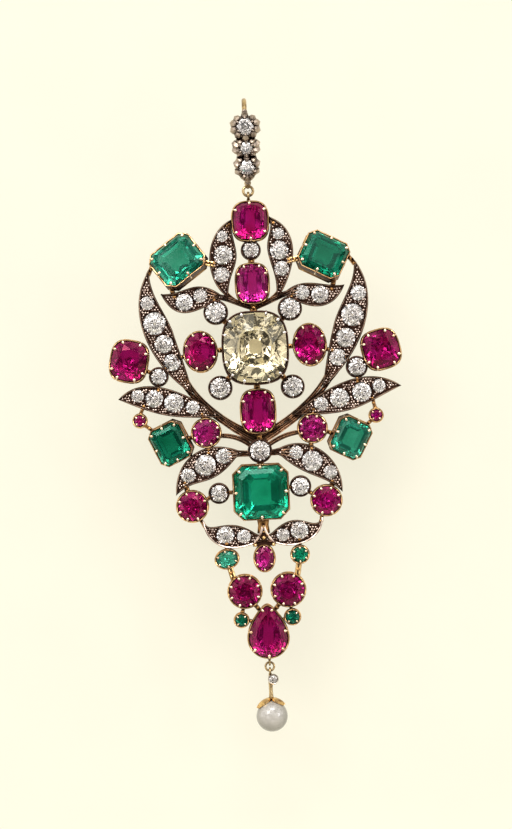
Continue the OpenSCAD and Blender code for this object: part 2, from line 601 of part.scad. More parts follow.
// A lobe's outline: ribs with flutes between them, and a foot that may narrow
function lobe_outline(lobe) = let(n = flutes * flute_steps) [for (i = [0:n - 1]) let(
    a = 360 * i / n,
    share = 1 - flute_depth * (1 - cos(flutes * a)),
    reach = cos(a) > 0 ? lobe[LOBE_UP] : lobe[LOBE_DOWN],
    narrowing = cos(a) > 0 ? 0 : lobe[LOBE_TAPER] * pow(cos(a), 2),
    p = oval_point(a + 90, lobe[LOBE_W], 2 * reach, lobe_power)
) [p[0] * (1 - narrowing), p[1]] * share];

// The wire of the bail: an arc over the top, and two strands down to the foot
module bail_wire() {
    translate([0, 0, loop_z]) side_on() rotate(-strand_angle)
        rotate_extrude(angle = 180 + 2 * strand_angle, $fn = round_fn)
            translate([loop_centre_r, 0]) circle(bail_wire_r, $fn = round_fn);
    for (side = [-1, 1]) translate([0, 0, tail_z]) rotate([side * strand_angle, 0, 0])
        cylinder(h = strand_length + strand_lap, r = strand_r, $fn = round_fn);
}

module bail() color("silver") {
    difference() {
        union() {
            bail_wire();
            for (lobe = BAIL_LOBES) on_bail(lobe[LOBE_Z]) translate([0, 0, lobe_back])
                linear_extrude(lobe_girdle + girdle_h - lobe_back) polygon(lobe_outline(lobe));
            translate([0, 0, tail_z + tail_block[2] / 2 - over]) cube(tail_block, center = true);
        }
        for (lobe = BAIL_LOBES) on_bail(lobe[LOBE_Z])
            translate([0, 0, lobe_girdle - lobe[LOBE_STONE] * pavilion_share - over])
                cylinder(h = lobe[LOBE_STONE], d = lobe[LOBE_STONE] + 2 * seat_gap, $fn = round_fn);
    }
    translate([0, 0, foot_ring_z]) rotate([90, 0, 0]) wire_ring(foot_ring_r, ring_wire_r);
}

module bail_diamonds() color("white")
    for (lobe = BAIL_LOBES) on_bail(lobe[LOBE_Z]) translate([0, 0, lobe_girdle]) single_cut(lobe[LOBE_STONE]);

// The pearl drop: a ring, a mount with a small diamond and a leaf cap, and the pearl
module drop_ring() color("gold")
    translate([0, 0, drop_ring_z]) rotate([90, 0, 0]) wire_ring(drop_ring_r, drop_wire_r);

module cap() intersection() {
    difference() {
        sphere(pearl_r + pearl_gap + cap_wall, $fn = round_fn);
        sphere(pearl_r + pearl_gap, $fn = round_fn);
    }
    for (a = [0:90:270]) rotate(a) translate([cap_reach, 0, 0]) linear_extrude(pearl_r * 2)
        polygon([for (i = [0:wall_steps - 1]) oval_point(360 * i / wall_steps, cap_lobe[0], cap_lobe[1])]);
}

module drop_mount() color("gold") {
    translate([0, 0, mount_loop_z]) side_on() wire_ring(foot_loop_r, drop_wire_r);
    difference() {
        union() {
            translate([0, 0, cap_top])
                cylinder(h = mount_loop_z - foot_loop_r - cap_top, r = drop_stem_r, $fn = round_fn);
            translate([drop_stone_x, drop_collet_h / 2, drop_stone_z]) rotate([90, 0, 0])
                cylinder(h = drop_collet_h, r = drop_collet_r, $fn = round_fn);
        }
        translate([drop_stone_x, -drop_seat_back, drop_stone_z]) rotate([90, 0, 0])
            cylinder(h = drop_collet_h, d = drop_stone_w + 2 * seat_gap, $fn = round_fn);
    }
    translate([0, 0, pearl_z]) cap();
}

module drop_diamond() color("white")
    translate([drop_stone_x, -drop_collet_h / 2, drop_stone_z]) rotate([90, 0, 0]) single_cut(drop_stone_w);

module pearl() color("linen") translate([0, 0, pearl_z]) sphere(pearl_r, $fn = round_fn);

bail();
bail_diamonds();
frame();
for (s = STONES) stone(s);
for (row = LEAVES) leaf_diamonds(row[NAME]);
drop_ring();
drop_mount();
drop_diamond();
pearl();
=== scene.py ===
# A gem-set pendant with a pearl drop: its looks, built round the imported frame.
# Sizes are in mm until a mesh is made. On the face x runs right, z up, depth forward from the back.
import math
import random
import bpy
import bmesh
from mathutils import Matrix, Vector
from mathutils.geometry import tessellate_polygon


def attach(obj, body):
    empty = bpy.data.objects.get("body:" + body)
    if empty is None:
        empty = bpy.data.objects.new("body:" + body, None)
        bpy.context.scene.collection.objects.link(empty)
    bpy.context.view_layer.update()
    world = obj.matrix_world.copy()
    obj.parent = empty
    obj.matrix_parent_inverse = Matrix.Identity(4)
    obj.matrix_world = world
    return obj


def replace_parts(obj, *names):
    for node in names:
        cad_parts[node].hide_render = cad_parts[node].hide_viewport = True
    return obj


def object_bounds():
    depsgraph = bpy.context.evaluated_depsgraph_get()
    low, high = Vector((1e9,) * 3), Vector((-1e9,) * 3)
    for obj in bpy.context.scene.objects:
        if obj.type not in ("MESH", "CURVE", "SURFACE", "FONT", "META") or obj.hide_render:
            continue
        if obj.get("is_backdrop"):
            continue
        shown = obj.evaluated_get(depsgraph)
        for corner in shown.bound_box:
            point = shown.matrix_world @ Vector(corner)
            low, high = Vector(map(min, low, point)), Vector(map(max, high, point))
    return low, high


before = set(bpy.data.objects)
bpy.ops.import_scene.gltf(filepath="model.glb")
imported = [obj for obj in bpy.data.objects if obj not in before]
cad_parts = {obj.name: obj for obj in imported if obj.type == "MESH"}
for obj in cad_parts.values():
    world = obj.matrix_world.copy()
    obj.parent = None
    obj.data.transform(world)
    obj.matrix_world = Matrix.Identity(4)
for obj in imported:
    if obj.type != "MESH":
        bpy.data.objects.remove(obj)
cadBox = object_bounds()
mm = 0.001
backAt = 1.5  # how far the back of the frame lies behind the bail's middle
random.seed(7)


# Camera and set

picture = {
    "tall": 116.06,  # mm of the scene from its top edge to its foot
    "middle": (-0.32, -43.64),  # what the camera looks at, x and z
    "roll": 2.628,  # degrees that the camera is tipped
    "lens": 200, "sensor": 36,
    "clip": (0.1, 20),  # nearest and farthest that it sees, as shares of how far away it stands
}


def addObject(name, data):
    made = bpy.data.objects.new(name, data)
    bpy.context.scene.collection.objects.link(made)
    return made


def placeCamera():
    data = bpy.data.cameras.new("camera")
    data.lens, data.sensor_width = picture["lens"], picture["sensor"]
    away = picture["tall"] / picture["sensor"] * picture["lens"] * mm
    data.clip_start, data.clip_end = (away * share for share in picture["clip"])
    camera = addObject("camera", data)
    x, z = picture["middle"]
    turn = Matrix.Rotation(math.radians(picture["roll"]), 4, "Y") @ Matrix.Rotation(math.pi / 2, 4, "X")
    camera.matrix_world = Matrix.Translation((x * mm, -away, z * mm)) @ turn
    bpy.context.scene.camera = camera


studio = {
    "paper": (1.0, 0.957, 0.785),  # colour of the sheet behind the pendant
    "glow": 0.75, "lit": 0.185,  # how much of it the sheet gives of itself, and how much the lamps light
    "rough": 0.9, "sheen": 0.1,  # the sheet's surface
    "fibre": (60, 0.95),  # how fine its fibres are, and their shade
    "paperBehind": 9,  # mm from the back of the frame to the sheet
    "floor": -130,  # height of the floor
    "bend": 30, "steps": 8,  # radius of the sheet's bend, and the flats in it
    "reach": 900, "forward": 60,  # how far the sheet spreads, and how far its floor comes forward
    "sky": (1.0, 0.98, 0.95),  # colour of the light all round
    "panes": 2.4,  # how fine the bright panes of the sky are
    # Strength of the sky: the span that it fades over, and its share at both ends
    "between panes": ((0.47, 0.55), (0.22, 2.2)), "under": ((-0.2, 0.1), (0.65, 1)),
    "behind camera": ((-0.97, -0.86), (0.5, 1)),
    "aim": (0, 0, -43),  # what the lights point at
    "lights": {  # place, size, watts, colour
        "key": ((-400, -700, 420), (400, 400), 3.0, (1, 0.99, 0.97)),
        "top": ((40, -330, 400), (300, 200), 1.35, (1, 1, 1)),
        "side": ((520, -420, 40), (60, 300), 0.6, (0.95, 0.97, 1)),
        "glint": ((-160, -900, 260), (60, 60), 0.4, (1, 1, 1)),
    },
}


# Sets a node's inputs: a socket is linked, anything else becomes the input's value
def setInputs(tree, node, inputs):
    for label, value in inputs.items():
        if isinstance(value, bpy.types.NodeSocket):
            tree.links.new(value, node.inputs[label])
        else:
            node.inputs[label].default_value = value


def addNode(tree, kind, inputs, **settings):
    node = tree.nodes.new(kind)
    for label, value in settings.items():
        setattr(node, label, value)
    setInputs(tree, node, inputs)
    return node


# Turns a value's span into another, 0 to 1 unless told
def ramp(tree, value, span, out=(0, 1)):
    return addNode(tree, "ShaderNodeMapRange", {"Value": value, "From Min": span[0], "From Max": span[1],
        "To Min": out[0], "To Max": out[1]}).outputs[0]


def times(tree, a, b):
    return addNode(tree, "ShaderNodeMath", {0: a, 1: b}, operation="MULTIPLY").outputs[0]


def blend(tree, share, first, second):
    mix = addNode(tree, "ShaderNodeMix", {0: share, 6: (*first, 1), 7: (*second, 1)}, data_type="RGBA")
    return mix.outputs[2]


# Noise in the object's own space, from 0 to 1
def cloud(tree, scale, detail=2.0, span=(0.35, 0.65)):
    place = addNode(tree, "ShaderNodeTexCoord", {}).outputs["Object"]
    noise = addNode(tree, "ShaderNodeTexNoise", {"Vector": place, "Scale": scale, "Detail": detail})
    return ramp(tree, noise.outputs[0], span)


# A ramp along the object's y, its span in mm
def alongY(tree, start, end, out=(0, 1)):
    place = addNode(tree, "ShaderNodeTexCoord", {}).outputs["Object"]
    split = addNode(tree, "ShaderNodeSeparateXYZ", {0: place})
    return ramp(tree, split.outputs["Y"], (start * mm, end * mm), out)


def newMaterial(name):
    material = bpy.data.materials.new(name)
    material.use_nodes = True
    return material, material.node_tree, material.node_tree.nodes["Principled BSDF"]


def paperMaterial():
    material, tree, shader = newMaterial("paper")
    fine, shade = studio["fibre"]
    lit = [c * studio["lit"] for c in studio["paper"]]
    setInputs(tree, shader, {"Roughness": studio["rough"], "Specular IOR Level": studio["sheen"],
        "Base Color": blend(tree, cloud(tree, fine), lit, [c * shade for c in lit]),
        "Emission Color": (*studio["paper"], 1), "Emission Strength": studio["glow"]})
    clear = addNode(tree, "ShaderNodeBsdfTransparent", {}).outputs[0]
    side = addNode(tree, "ShaderNodeNewGeometry", {}).outputs["Backfacing"]
    mix = addNode(tree, "ShaderNodeMixShader", {0: side, 1: shader.outputs[0], 2: clear})
    setInputs(tree, tree.nodes["Material Output"], {"Surface": mix.outputs[0]})
    return material


def layPaper():
    wall, floor = backAt + studio["paperBehind"], studio["floor"]
    bend, reach = studio["bend"], studio["reach"]
    bends = [math.radians(step * 90 / studio["steps"]) for step in range(studio["steps"] + 1)]
    line = [(wall, reach)]
    line += [(wall - bend + bend * math.cos(a), floor + bend - bend * math.sin(a)) for a in bends]
    line.append((-studio["forward"], floor))
    points = [(side * reach * mm, y * mm, z * mm) for side in (-1, 1) for y, z in line]
    n = len(line)
    mesh = bpy.data.meshes.new("paper")
    mesh.from_pydata(points, [], [(i, i + 1, n + i + 1, n + i) for i in range(n - 1)])
    mesh.materials.append(paperMaterial())
    mesh.shade_smooth()
    sheet = addObject("paper", mesh)
    sheet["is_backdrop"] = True


def lightSet():
    world = bpy.data.worlds.new("studio")
    bpy.context.scene.world = world
    world.use_nodes = True
    tree = world.node_tree
    way = addNode(tree, "ShaderNodeTexCoord", {}).outputs["Generated"]
    split = addNode(tree, "ShaderNodeSeparateXYZ", {0: way})
    noise = addNode(tree, "ShaderNodeTexNoise", {"Vector": way, "Scale": studio["panes"], "Detail": 1})
    strength = 1
    for source, label in ((noise.outputs[0], "between panes"), (split.outputs["Z"], "under"),
            (split.outputs["Y"], "behind camera")):
        strength = times(tree, strength, ramp(tree, source, *studio[label]))
    setInputs(tree, tree.nodes["Background"], {"Color": (*studio["sky"], 1), "Strength": strength})
    for name, (place, size, watts, colour) in studio["lights"].items():
        data = bpy.data.lights.new(name, "AREA")
        data.shape = "RECTANGLE"
        data.size, data.size_y = size[0] * mm, size[1] * mm
        data.energy, data.color = watts, colour
        light = addObject(name, data)
        light.location = Vector(place) * mm
        light.rotation_euler = (Vector(studio["aim"]) - Vector(place)).to_track_quat("-Z", "Y").to_euler()


# Materials

# Each metal: bright colour, dark colour of its tarnish and painted shade, roughness of both, size in mm of
# the crevices painted darker, how far that painted shade is lifted, and the depths between which it turns
# from dark to bright, or None
metals = {
    "wire gold": ((0.58, 0.42, 0.21), (0.08, 0.04, 0.015), (0.20, 0.42), 0.6, 0.36, None),
    "collet gold": ((0.84, 0.52, 0.22), (0.065, 0.020, 0.008), (0.28, 0.42), 0.7, 0.5, (1.7, 1.0)),
    "collet silver": ((0.50, 0.42, 0.36), (0.045, 0.022, 0.015), (0.28, 0.42), 0.7, 0.4, (0.6, 0.2)),
    "claw gold": ((1.0, 0.82, 0.60), (0.50, 0.24, 0.10), (0.2, 0.35), 0.2, 0.8, None),
    "claw silver": ((0.92, 0.88, 0.84), (0.20, 0.15, 0.12), (0.18, 0.35), 0.2, 0.7, None),
    "leaf silver": ((0.40, 0.28, 0.21), (0.062, 0.028, 0.018), (0.3, 0.45), 0.6, 0.5, (1.62, 1.82)),
    "grain silver": ((0.74, 0.59, 0.50), (0.13, 0.065, 0.045), (0.2, 0.4), 0.22, 0.55, None),
    "stem silver": ((0.66, 0.47, 0.34), (0.070, 0.030, 0.018), (0.25, 0.45), 0.16, 0.5, None),
    "bail silver": ((0.70, 0.57, 0.46), (0.028, 0.014, 0.009), (0.2, 0.4), 0.7, 0.2, None),
    "solder": ((0.56, 0.29, 0.10), (0.055, 0.020, 0.008), (0.28, 0.45), 0.5, 0.42, None),
    "bright gold": ((0.86, 0.58, 0.25), (0.20, 0.085, 0.03), (0.18, 0.35), 0.5, 0.55, None),
    "gilt": ((0.88, 0.56, 0.26), (0.22, 0.09, 0.03), (0.22, 0.4), 0.2, 0.6, None),
    "drop silver": ((0.66, 0.60, 0.52), (0.10, 0.07, 0.05), (0.25, 0.45), 0.4, 0.5, None),
}
# How metals darken: fineness of the occlusion that paints shade into their crevices, the light between which
# they turn bright when that painted shade is not lifted at all, and fineness, detail and span of the patches
# of tarnish
tarnishAndShade = {"samples": 6, "light": (0.9, 1.35), "patches": (900, 3, (0.25, 0.55))}
# Each gem: two colours that drift into each other, refractive index, blur inside, clearness,
# and tint of what it mirrors
gems = {
    "ruby": ((0.27, 0.003, 0.060), (0.37, 0.006, 0.165), 1.72, 0.06, 0.9, (0.75, 0.15, 0.28)),
    "purple ruby": ((0.31, 0.008, 0.095), (0.42, 0.020, 0.215), 1.72, 0.06, 0.9, (0.78, 0.2, 0.38)),
    "deep ruby": ((0.20, 0.002, 0.038), (0.28, 0.005, 0.110), 1.72, 0.06, 0.9, (0.7, 0.12, 0.22)),
    "emerald": ((0.003, 0.22, 0.105), (0.012, 0.37, 0.210), 1.58, 0.06, 0.88, (0.25, 0.65, 0.5)),
    "pale emerald": ((0.010, 0.215, 0.125), (0.050, 0.37, 0.25), 1.58, 0.06, 0.88, (0.45, 0.8, 0.68)),
    "deep emerald": ((0.002, 0.11, 0.055), (0.008, 0.21, 0.120), 1.62, 0.06, 0.88, (0.2, 0.6, 0.45)),
    "diamond": ((0.98, 0.93, 0.895), (0.72, 0.65, 0.60), 2.3, 0.0, 0.985, (1, 1, 1)),
    "pale diamond": ((0.84, 0.74, 0.49), (0.55, 0.46, 0.29), 2.0, 0.02, 0.97, (0.4, 0.4, 0.36)),
}
gemDrift = 260  # how fine the drift of a gem's colours is
pearlLookAndShade = {
    "colours": ((0.33, 0.31, 0.28), (0.44, 0.41, 0.37)), "drift": (420, 4),
    "rim": 0.25,  # how dark its rim is painted, the front painted lighter: painted shade
    "Roughness": 0.28, "Coat Weight": 1, "Coat Roughness": 0.14,
}
pearlRadius = 2.2


def metal(name):
    bright, dark, (smooth, rough), crevice, shadeLift, band = metals[name]
    material, tree, shader = newMaterial(name)
    # Painted shade: the colour turns to the dark one where ambient occlusion finds crevices, mixed with
    # patches of tarnish
    shade = addNode(tree, "ShaderNodeAmbientOcclusion", {"Distance": crevice * mm}, samples=tarnishAndShade["samples"],
        only_local=False)
    share = ramp(tree, shade.outputs["AO"], [light - shadeLift for light in tarnishAndShade["light"]])
    share = times(tree, share, cloud(tree, *tarnishAndShade["patches"]))
    if band:  # depth is measured forward from the back, so it falls as y rises
        share = times(tree, share, alongY(tree, backAt - band[0], backAt - band[1]))
    setInputs(tree, shader, {"Metallic": 1, "Base Color": blend(tree, share, dark, bright),
        "Roughness": ramp(tree, share, (0, 1), (rough, smooth))})
    return material


def gem(name):
    first, second, index, blur, clearness, shine = gems[name]
    material, tree, shader = newMaterial(name)
    setInputs(tree, shader, {"Base Color": blend(tree, cloud(tree, gemDrift), first, second),
        "Roughness": blur, "IOR": index, "Transmission Weight": clearness, "Specular Tint": (*shine, 1)})
    return material


def nacre():
    material, tree, shader = newMaterial("nacre")
    base = blend(tree, cloud(tree, *pearlLookAndShade["drift"]), *pearlLookAndShade["colours"])
    # Painted shade: the pearl is painted lighter at its front and darker towards its rim
    shade = alongY(tree, -pearlRadius, 0, (1, pearlLookAndShade["rim"]))
    both = addNode(tree, "ShaderNodeMix", {0: 1, 6: base, 7: shade}, data_type="RGBA", blend_type="MULTIPLY")
    setInputs(tree, shader, {"Base Color": both.outputs[2],
        **{label: pearlLookAndShade[label] for label in ("Roughness", "Coat Weight", "Coat Roughness")}})
    return material


# Stones whose colour differs from the others of their kind
tones = {
    "deep ": ("upper_emerald_right", "wing_emerald_left", "foot_emerald_left", "foot_emerald_right",
        "outer_ruby_left", "outer_ruby_right", "twin_ruby_left", "twin_ruby_right", "pear_ruby"),
    "pale ": ("centre_diamond", "upper_emerald_left", "wing_emerald_right", "drop_emerald_left"),
    "purple ": ("upper_ruby", "wing_ruby_left", "wing_ruby_right", "tip_ruby_left", "drop_ruby_small"),
}


# What a stone is, and the name of its finish
def kindOf(name):
    return next(kind for kind in ("diamond", "ruby", "emerald") if kind in name)


def gemFor(name):
    return next((tone for tone, names in tones.items() if name in names), "") + kindOf(name)


finishes = {**{name: metal(name) for name in metals}, **{name: gem(name) for name in gems}, "nacre": nacre()}

placeCamera()
layPaper()
lightSet()
for name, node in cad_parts.items():
    if any(stone in name for stone in ("diamond", "ruby", "emerald")):
        node.data.materials[0] = finishes[gemFor(name)]
print("stage: camera, set, lights and gems")


# Where everything is

faceMiddle = Vector((0, -36))

# Stones in collets: name, cut, place, size, claws, and for some their turn and lean outwards
stones = [
    ("top_ruby", "cushion", (0.1, -16.55), (4.7, 5.2), 6),
    ("crown_diamond", "round", (0, -20.6), (2.2, 2.2), 4),
    ("upper_ruby", "cushion", (0, -25.3), (4.3, 5.3), 8),
    ("upper_emerald_left", "octagon", (-10.35, -21.55), (6.5, 5.5), 8, 36, 12),
    ("upper_emerald_right", "octagon", (10.2, -21.7), (6, 5.2), 8, -27.5, 12),
    ("centre_diamond", "cushion", (0, -34.3), (8.8, 9.8), 12),
    ("corner_diamond_upper_left", "round", (-5.3, -29.1), (2.85, 2.85), 6),
    ("corner_diamond_upper_right", "round", (5.1, -29), (2.8, 2.8), 6),
    ("corner_diamond_lower_left", "round", (-5.15, -39.7), (2.8, 2.8), 6),
    ("corner_diamond_lower_right", "round", (5, -39.95), (2.75, 2.75), 6),
    ("inner_ruby_left", "oval", (-7.7, -34.5), (4.3, 5.3), 8, 4),
    ("inner_ruby_right", "oval", (7.65, -34.2), (4.2, 5.5), 8, 3),
    ("outer_ruby_left", "cushion", (-17.75, -35.4), (4.9, 5.5), 8, -12),
    ("outer_ruby_right", "cushion", (17.6, -35.3), (4.9, 5.2), 8, 14),
    ("side_diamond_left", "round", (-13.7, -37.75), (2.15, 2.15), 4),
    ("side_diamond_right", "round", (14.1, -37.6), (2.45, 2.45), 4),
    ("lower_ruby", "cushion", (0, -43.2), (4.5, 5.8), 8),
    ("wing_ruby_left", "round", (-7.4, -45.9), (3.7, 3.7), 8),
    ("wing_ruby_right", "round", (7.5, -45.9), (3.7, 3.7), 8),
    ("wing_emerald_left", "octagon", (-12.5, -47.2), (4.5, 5.2), 8, 24.5, 8),
    ("wing_emerald_right", "octagon", (12.8, -47.5), (4.5, 5), 8, -28, 8),
    ("tip_ruby_left", "round", (-16.6, -43.8), (1.5, 1.5), 4),
    ("tip_ruby_right", "round", (16.5, -44.5), (1.5, 1.5), 4),
    ("knot_diamond", "round", (0, -48.75), (2.8, 2.8), 6),
    ("main_emerald", "octagon", (-0.1, -54.5), (7.3, 7.3), 8),
    ("flank_diamond_left", "round", (-6, -54.45), (2.35, 2.35), 4),
    ("flank_diamond_right", "round", (5.45, -53.95), (2.4, 2.4), 4),
    ("flank_ruby_left", "round", (-9.8, -56.1), (4, 4), 8),
    ("flank_ruby_right", "round", (9, -56.1), (3.9, 3.9), 8),
    ("drop_ruby_small", "oval", (-0.05, -63.8), (2.5, 3.4), 6),
    ("drop_emerald_left", "oval", (-5.3, -63.7), (2.9, 2.3), 6, 12),
    ("drop_emerald_right", "round", (4.95, -63.5), (2.1, 2.1), 6),
    ("twin_ruby_left", "round", (-3, -68.35), (4.3, 4.3), 8),
    ("twin_ruby_right", "round", (3.1, -68.35), (4.4, 4.4), 8),
    ("foot_emerald_left", "round", (-3.65, -72.35), (1.6, 1.6), 4),
    ("foot_emerald_right", "round", (3.5, -72.2), (1.8, 1.8), 4),
    ("pear_ruby", "pear", (0, -74.05), (5.3, 7.1), 7),
]

# Leaves: tip, then the outer and the inner edge as two handles and a root
leaves = {
    "crown_leaf_left": ((-2.5, -16.2), ((-6.4, -17.7), (-6.9, -23.8), (-4.1, -26.6)),
        ((-2.8, -18), (-2, -19.6), (-2, -21.2), (-2, -22.9), (-3.3, -24.2), (-3.4, -26.7))),
    "crown_leaf_right": ((2.7, -16), ((7.2, -17.8), (6.3, -22.9), (4.3, -26.3)),
        ((3.3, -17.6), (2.3, -18.9), (2.3, -20.3), (2.3, -22.3), (3.6, -24.2), (3.3, -26.7))),
    "brow_leaf_left": ((-12.9, -26.2), ((-9.2, -26.5), (-8.1, -23.8), (-4.4, -26.7)),
        ((-10.8, -30.8), (-8, -28.7), (-4.7, -27.5))),
    "brow_leaf_right": ((12.9, -26), ((10.2, -26.4), (7.4, -24.4), (4.7, -26.5)),
        ((11.3, -29.8), (8, -29.5), (5, -27.4))),
    "side_leaf_left": ((-14.3, -22.6), ((-18.2, -28), (-15.1, -35.3), (-10.5, -39.3)),
        ((-14.7, -26), (-12.3, -28.7), (-11.4, -31.5), (-10.9, -33.5), (-9.9, -36.4), (-9.4, -38.5))),
    "side_leaf_right": ((14.2, -22.3), ((18.4, -27.6), (15.1, -35.1), (10.5, -39.2)),
        ((14.9, -25.6), (11.8, -28.6), (11, -31.9), (10.5, -33.6), (9.9, -36.3), (9.5, -38.4))),
    "wing_leaf_left": ((-19.5, -40.7), ((-15.8, -36.7), (-9.4, -40.5), (-5.8, -43.1)),
        ((-14.1, -43.2), (-12.6, -43.7), (-6.2, -43.8))),
    "wing_leaf_right": ((20.2, -40.5), ((15.7, -37.1), (9.8, -40.1), (5.9, -43.1)),
        ((14.2, -43.2), (13.6, -44.3), (6.4, -44))),
    "arch_leaf_left": ((-12, -54.5), ((-12.2, -49.4), (-7.8, -46.5), (-3.1, -48.5)),
        ((-9, -51.7), (-7.2, -54.1), (-3.4, -49.6))),
    "arch_leaf_right": ((11.3, -55), ((11.8, -50.4), (7.2, -46.4), (2.8, -48.4)),
        ((9, -52.5), (6.5, -53), (3, -49.7))),
    "base_leaf_left": ((-8.5, -58.2), ((-8, -62.1), (-4.7, -62.8), (-1.5, -61.7)),
        ((-7.4, -60.5), (-5.2, -57.3), (-1.2, -60.2))),
    "base_leaf_right": ((8.4, -58.4), ((8.2, -61.7), (4.2, -62.8), (1.6, -61.7)),
        ((6.9, -60.8), (5.2, -56.5), (1.2, -60.2))),
}

# Diamonds set in the leaves: x, z and width
leafDiamonds = {
    "crown_leaf_left": [(-3.95, -18.5, 1.6), (-3.9, -21.15, 2.7), (-4.25, -23.85, 2.2)],
    "crown_leaf_right": [(3.95, -18.45, 1.65), (4, -20.8, 2.6), (4.2, -23.4, 2.1)],
    "brow_leaf_left": [(-9.65, -27.55, 2.45), (-7.35, -26.65, 1.95)],
    "brow_leaf_right": [(6.95, -26.85, 2), (9.4, -27.25, 2.45)],
    "side_leaf_left": [(-14.8, -27.4, 1.95), (-13.9, -30.3, 3.2), (-12.75, -33.25, 2.6),
        (-11.75, -35.85, 2.4)],
    "side_leaf_right": [(14.75, -27.3, 2.15), (13.85, -30.3, 3.2), (12.7, -33.45, 2.75),
        (11.5, -36.15, 2.35)],
    "wing_leaf_left": [(-16.75, -40.3, 1.8), (-14.45, -40.8, 2.5), (-11.7, -41.55, 2.75),
        (-9.15, -42.25, 1.9)],
    "wing_leaf_right": [(8.85, -42.6, 2), (11.5, -41.85, 2.7), (14.6, -41.2, 2.7), (17.05, -40.4, 1.85)],
    "arch_leaf_left": [(-10.2, -51.8, 2.1), (-7.75, -50.45, 3), (-5.1, -49.3, 2.2)],
    "arch_leaf_right": [(5, -49.2, 1.95), (7.25, -50.5, 2.9), (9.7, -52.15, 1.95)],
    "base_leaf_left": [(-5.35, -60.35, 2.5), (-2.8, -60.65, 1.95)],
    "base_leaf_right": [(2.7, -60.6, 1.8), (5.05, -60.15, 2.5)],
}

# Ribs of the stems: start, two handles and end, width, and depth of the top
stems = [
    ((-9.6, -38.7), (-7.8, -42.2), (-3.6, -45.2), (0.2, -46.7), 0.6, 1.5),
    ((-10.1, -39.3), (-8.2, -42.2), (-4.4, -45.6), (-0.1, -47.1), 0.62, 1.3),
    ((-6.2, -43.4), (-4.6, -44.8), (-2.6, -46.4), (-0.3, -47.6), 0.7, 1.5),
    ((9.7, -38.7), (7.8, -42), (3.8, -44.9), (-0.2, -46.7), 0.6, 1.5),
    ((10.2, -39.3), (8.3, -42), (4.6, -45.4), (0.1, -47.1), 0.62, 1.3),
    ((6.2, -43.7), (4.8, -44.8), (2.6, -46.3), (0.3, -47.6), 0.7, 1.5),
    ((-5.4, -46.4), (-4, -46.4), (-2.6, -46.8), (-1.2, -48), 0.7, 1.4),
    ((5.5, -46.4), (4, -46.5), (2.6, -47.1), (1.2, -48), 0.7, 1.4),
    ((-5, -26.9), (-3.6, -27.1), (-1.8, -28.2), (0.3, -28.8), 0.8, 1.5),
    ((5, -26.8), (3.6, -27.1), (1.8, -28.2), (-0.3, -28.8), 0.8, 1.5),
    ((-3.8, -26.2), (-3.5, -26.8), (-2.6, -27.6), (-1.6, -28.1), 0.5, 1.3),
    ((3.8, -26.2), (3.5, -26.8), (2.6, -27.6), (1.6, -28.1), 0.5, 1.3),
    ((-3.4, -49.05), (-2.8, -49), (-2, -49), (-1.2, -49.1), 0.9, 1.5),
    ((3.1, -49.05), (2.7, -49), (2, -49), (1.2, -49.1), 0.9, 1.5),
]

# Solder bars: x and z of both ends, and the width
bars = [
    (-2.3, -16.6, -3.3, -17.1, 0.6), (2.5, -16.5, 3.4, -17, 0.6), (0, -19.2, 0, -19.7, 0.9),
    (0, -21.6, 0, -22.7, 0.9), (0, -27.9, 0, -29.5, 1), (-6.8, -22, -5.2, -22.4, 0.7),
    (-11.4, -25.1, -11, -26.8, 0.7), (-13.8, -22, -14.5, -23.4, 0.6), (6.8, -22, 5.2, -22.3, 0.7),
    (11.5, -25, 11.1, -26.6, 0.7), (13.4, -21.8, 14.4, -23.1, 0.6), (-4.4, -30.1, -3.4, -31.1, 0.8),
    (4.2, -30.1, 3.4, -30.9, 0.8), (-4.3, -38.8, -3.4, -37.9, 0.8), (4.2, -39.1, 3.4, -38.2, 0.8),
    (-5.4, -28, -5.6, -26.9, 0.6), (5.3, -28, 5.6, -26.9, 0.6), (-5.7, -34.4, -4.4, -34.4, 0.7),
    (5.7, -34.3, 4.4, -34.3, 0.7), (-9.8, -35, -11, -35.4, 0.6), (9.6, -34.8, 10.9, -35.2, 0.6),
    (-15.6, -36.7, -14.5, -37.3, 0.6), (15.4, -36.7, 14.8, -37.2, 0.6), (-13.1, -37.1, -12.3, -36.2, 0.6),
    (13.4, -37, 12.4, -36.2, 0.6), (-13.8, -38.7, -13.8, -39.8, 0.6), (14.1, -38.6, 14.1, -39.8, 0.6),
    (-16.5, -42.9, -15.9, -41.7, 0.5), (16.4, -43.6, 16.1, -42, 0.5), (-16, -44.4, -14.7, -45.4, 0.5),
    (15.9, -45.1, 14.8, -46, 0.5), (-10.5, -46.6, -9.1, -46.4, 0.6), (10.7, -46.8, 9.2, -46.4, 0.6),
    (-7.6, -44.2, -7.8, -43.2, 0.7), (7.6, -44.2, 7.8, -43.3, 0.7), (-7.2, -47.6, -7.2, -48.8, 0.7),
    (7.2, -47.6, 7.2, -48.8, 0.7), (0, -39.1, 0, -40.4, 0.9), (0, -46, 0, -47.5, 0.9),
    (0, -49.9, 0, -50.9, 1), (-4.9, -54.4, -3.6, -54.4, 0.6), (4.4, -54, 3.5, -54, 0.6),
    (-7, -54.8, -8.2, -55.5, 0.6), (6.4, -54.6, 7.4, -55.3, 0.6), (-10.4, -54.1, -10.6, -52.6, 0.7),
    (9.8, -54.2, 10.1, -52.8, 0.7), (-8.8, -57.9, -8.2, -59, 0.5), (8.4, -57.8, 8.1, -59, 0.5),
    (0, -58.1, 0, -60.2, 1.5), (-5.2, -62.7, -5.2, -61.4, 0.6), (4.9, -62.6, 4.9, -61.3, 0.6),
    (-5, -64.7, -4.5, -66.6, 0.6), (4.8, -64.4, 4.4, -66.6, 0.6), (-1.8, -70.1, -0.9, -71.2, 0.6),
    (1.8, -70.2, 0.9, -71.2, 0.6), (-3.3, -70.4, -3.5, -71.7, 0.5), (3.3, -70.5, 3.4, -71.5, 0.5),
    (-2.9, -72.3, -1.8, -72.7, 0.5), (2.7, -72.2, 1.7, -72.7, 0.5),
]

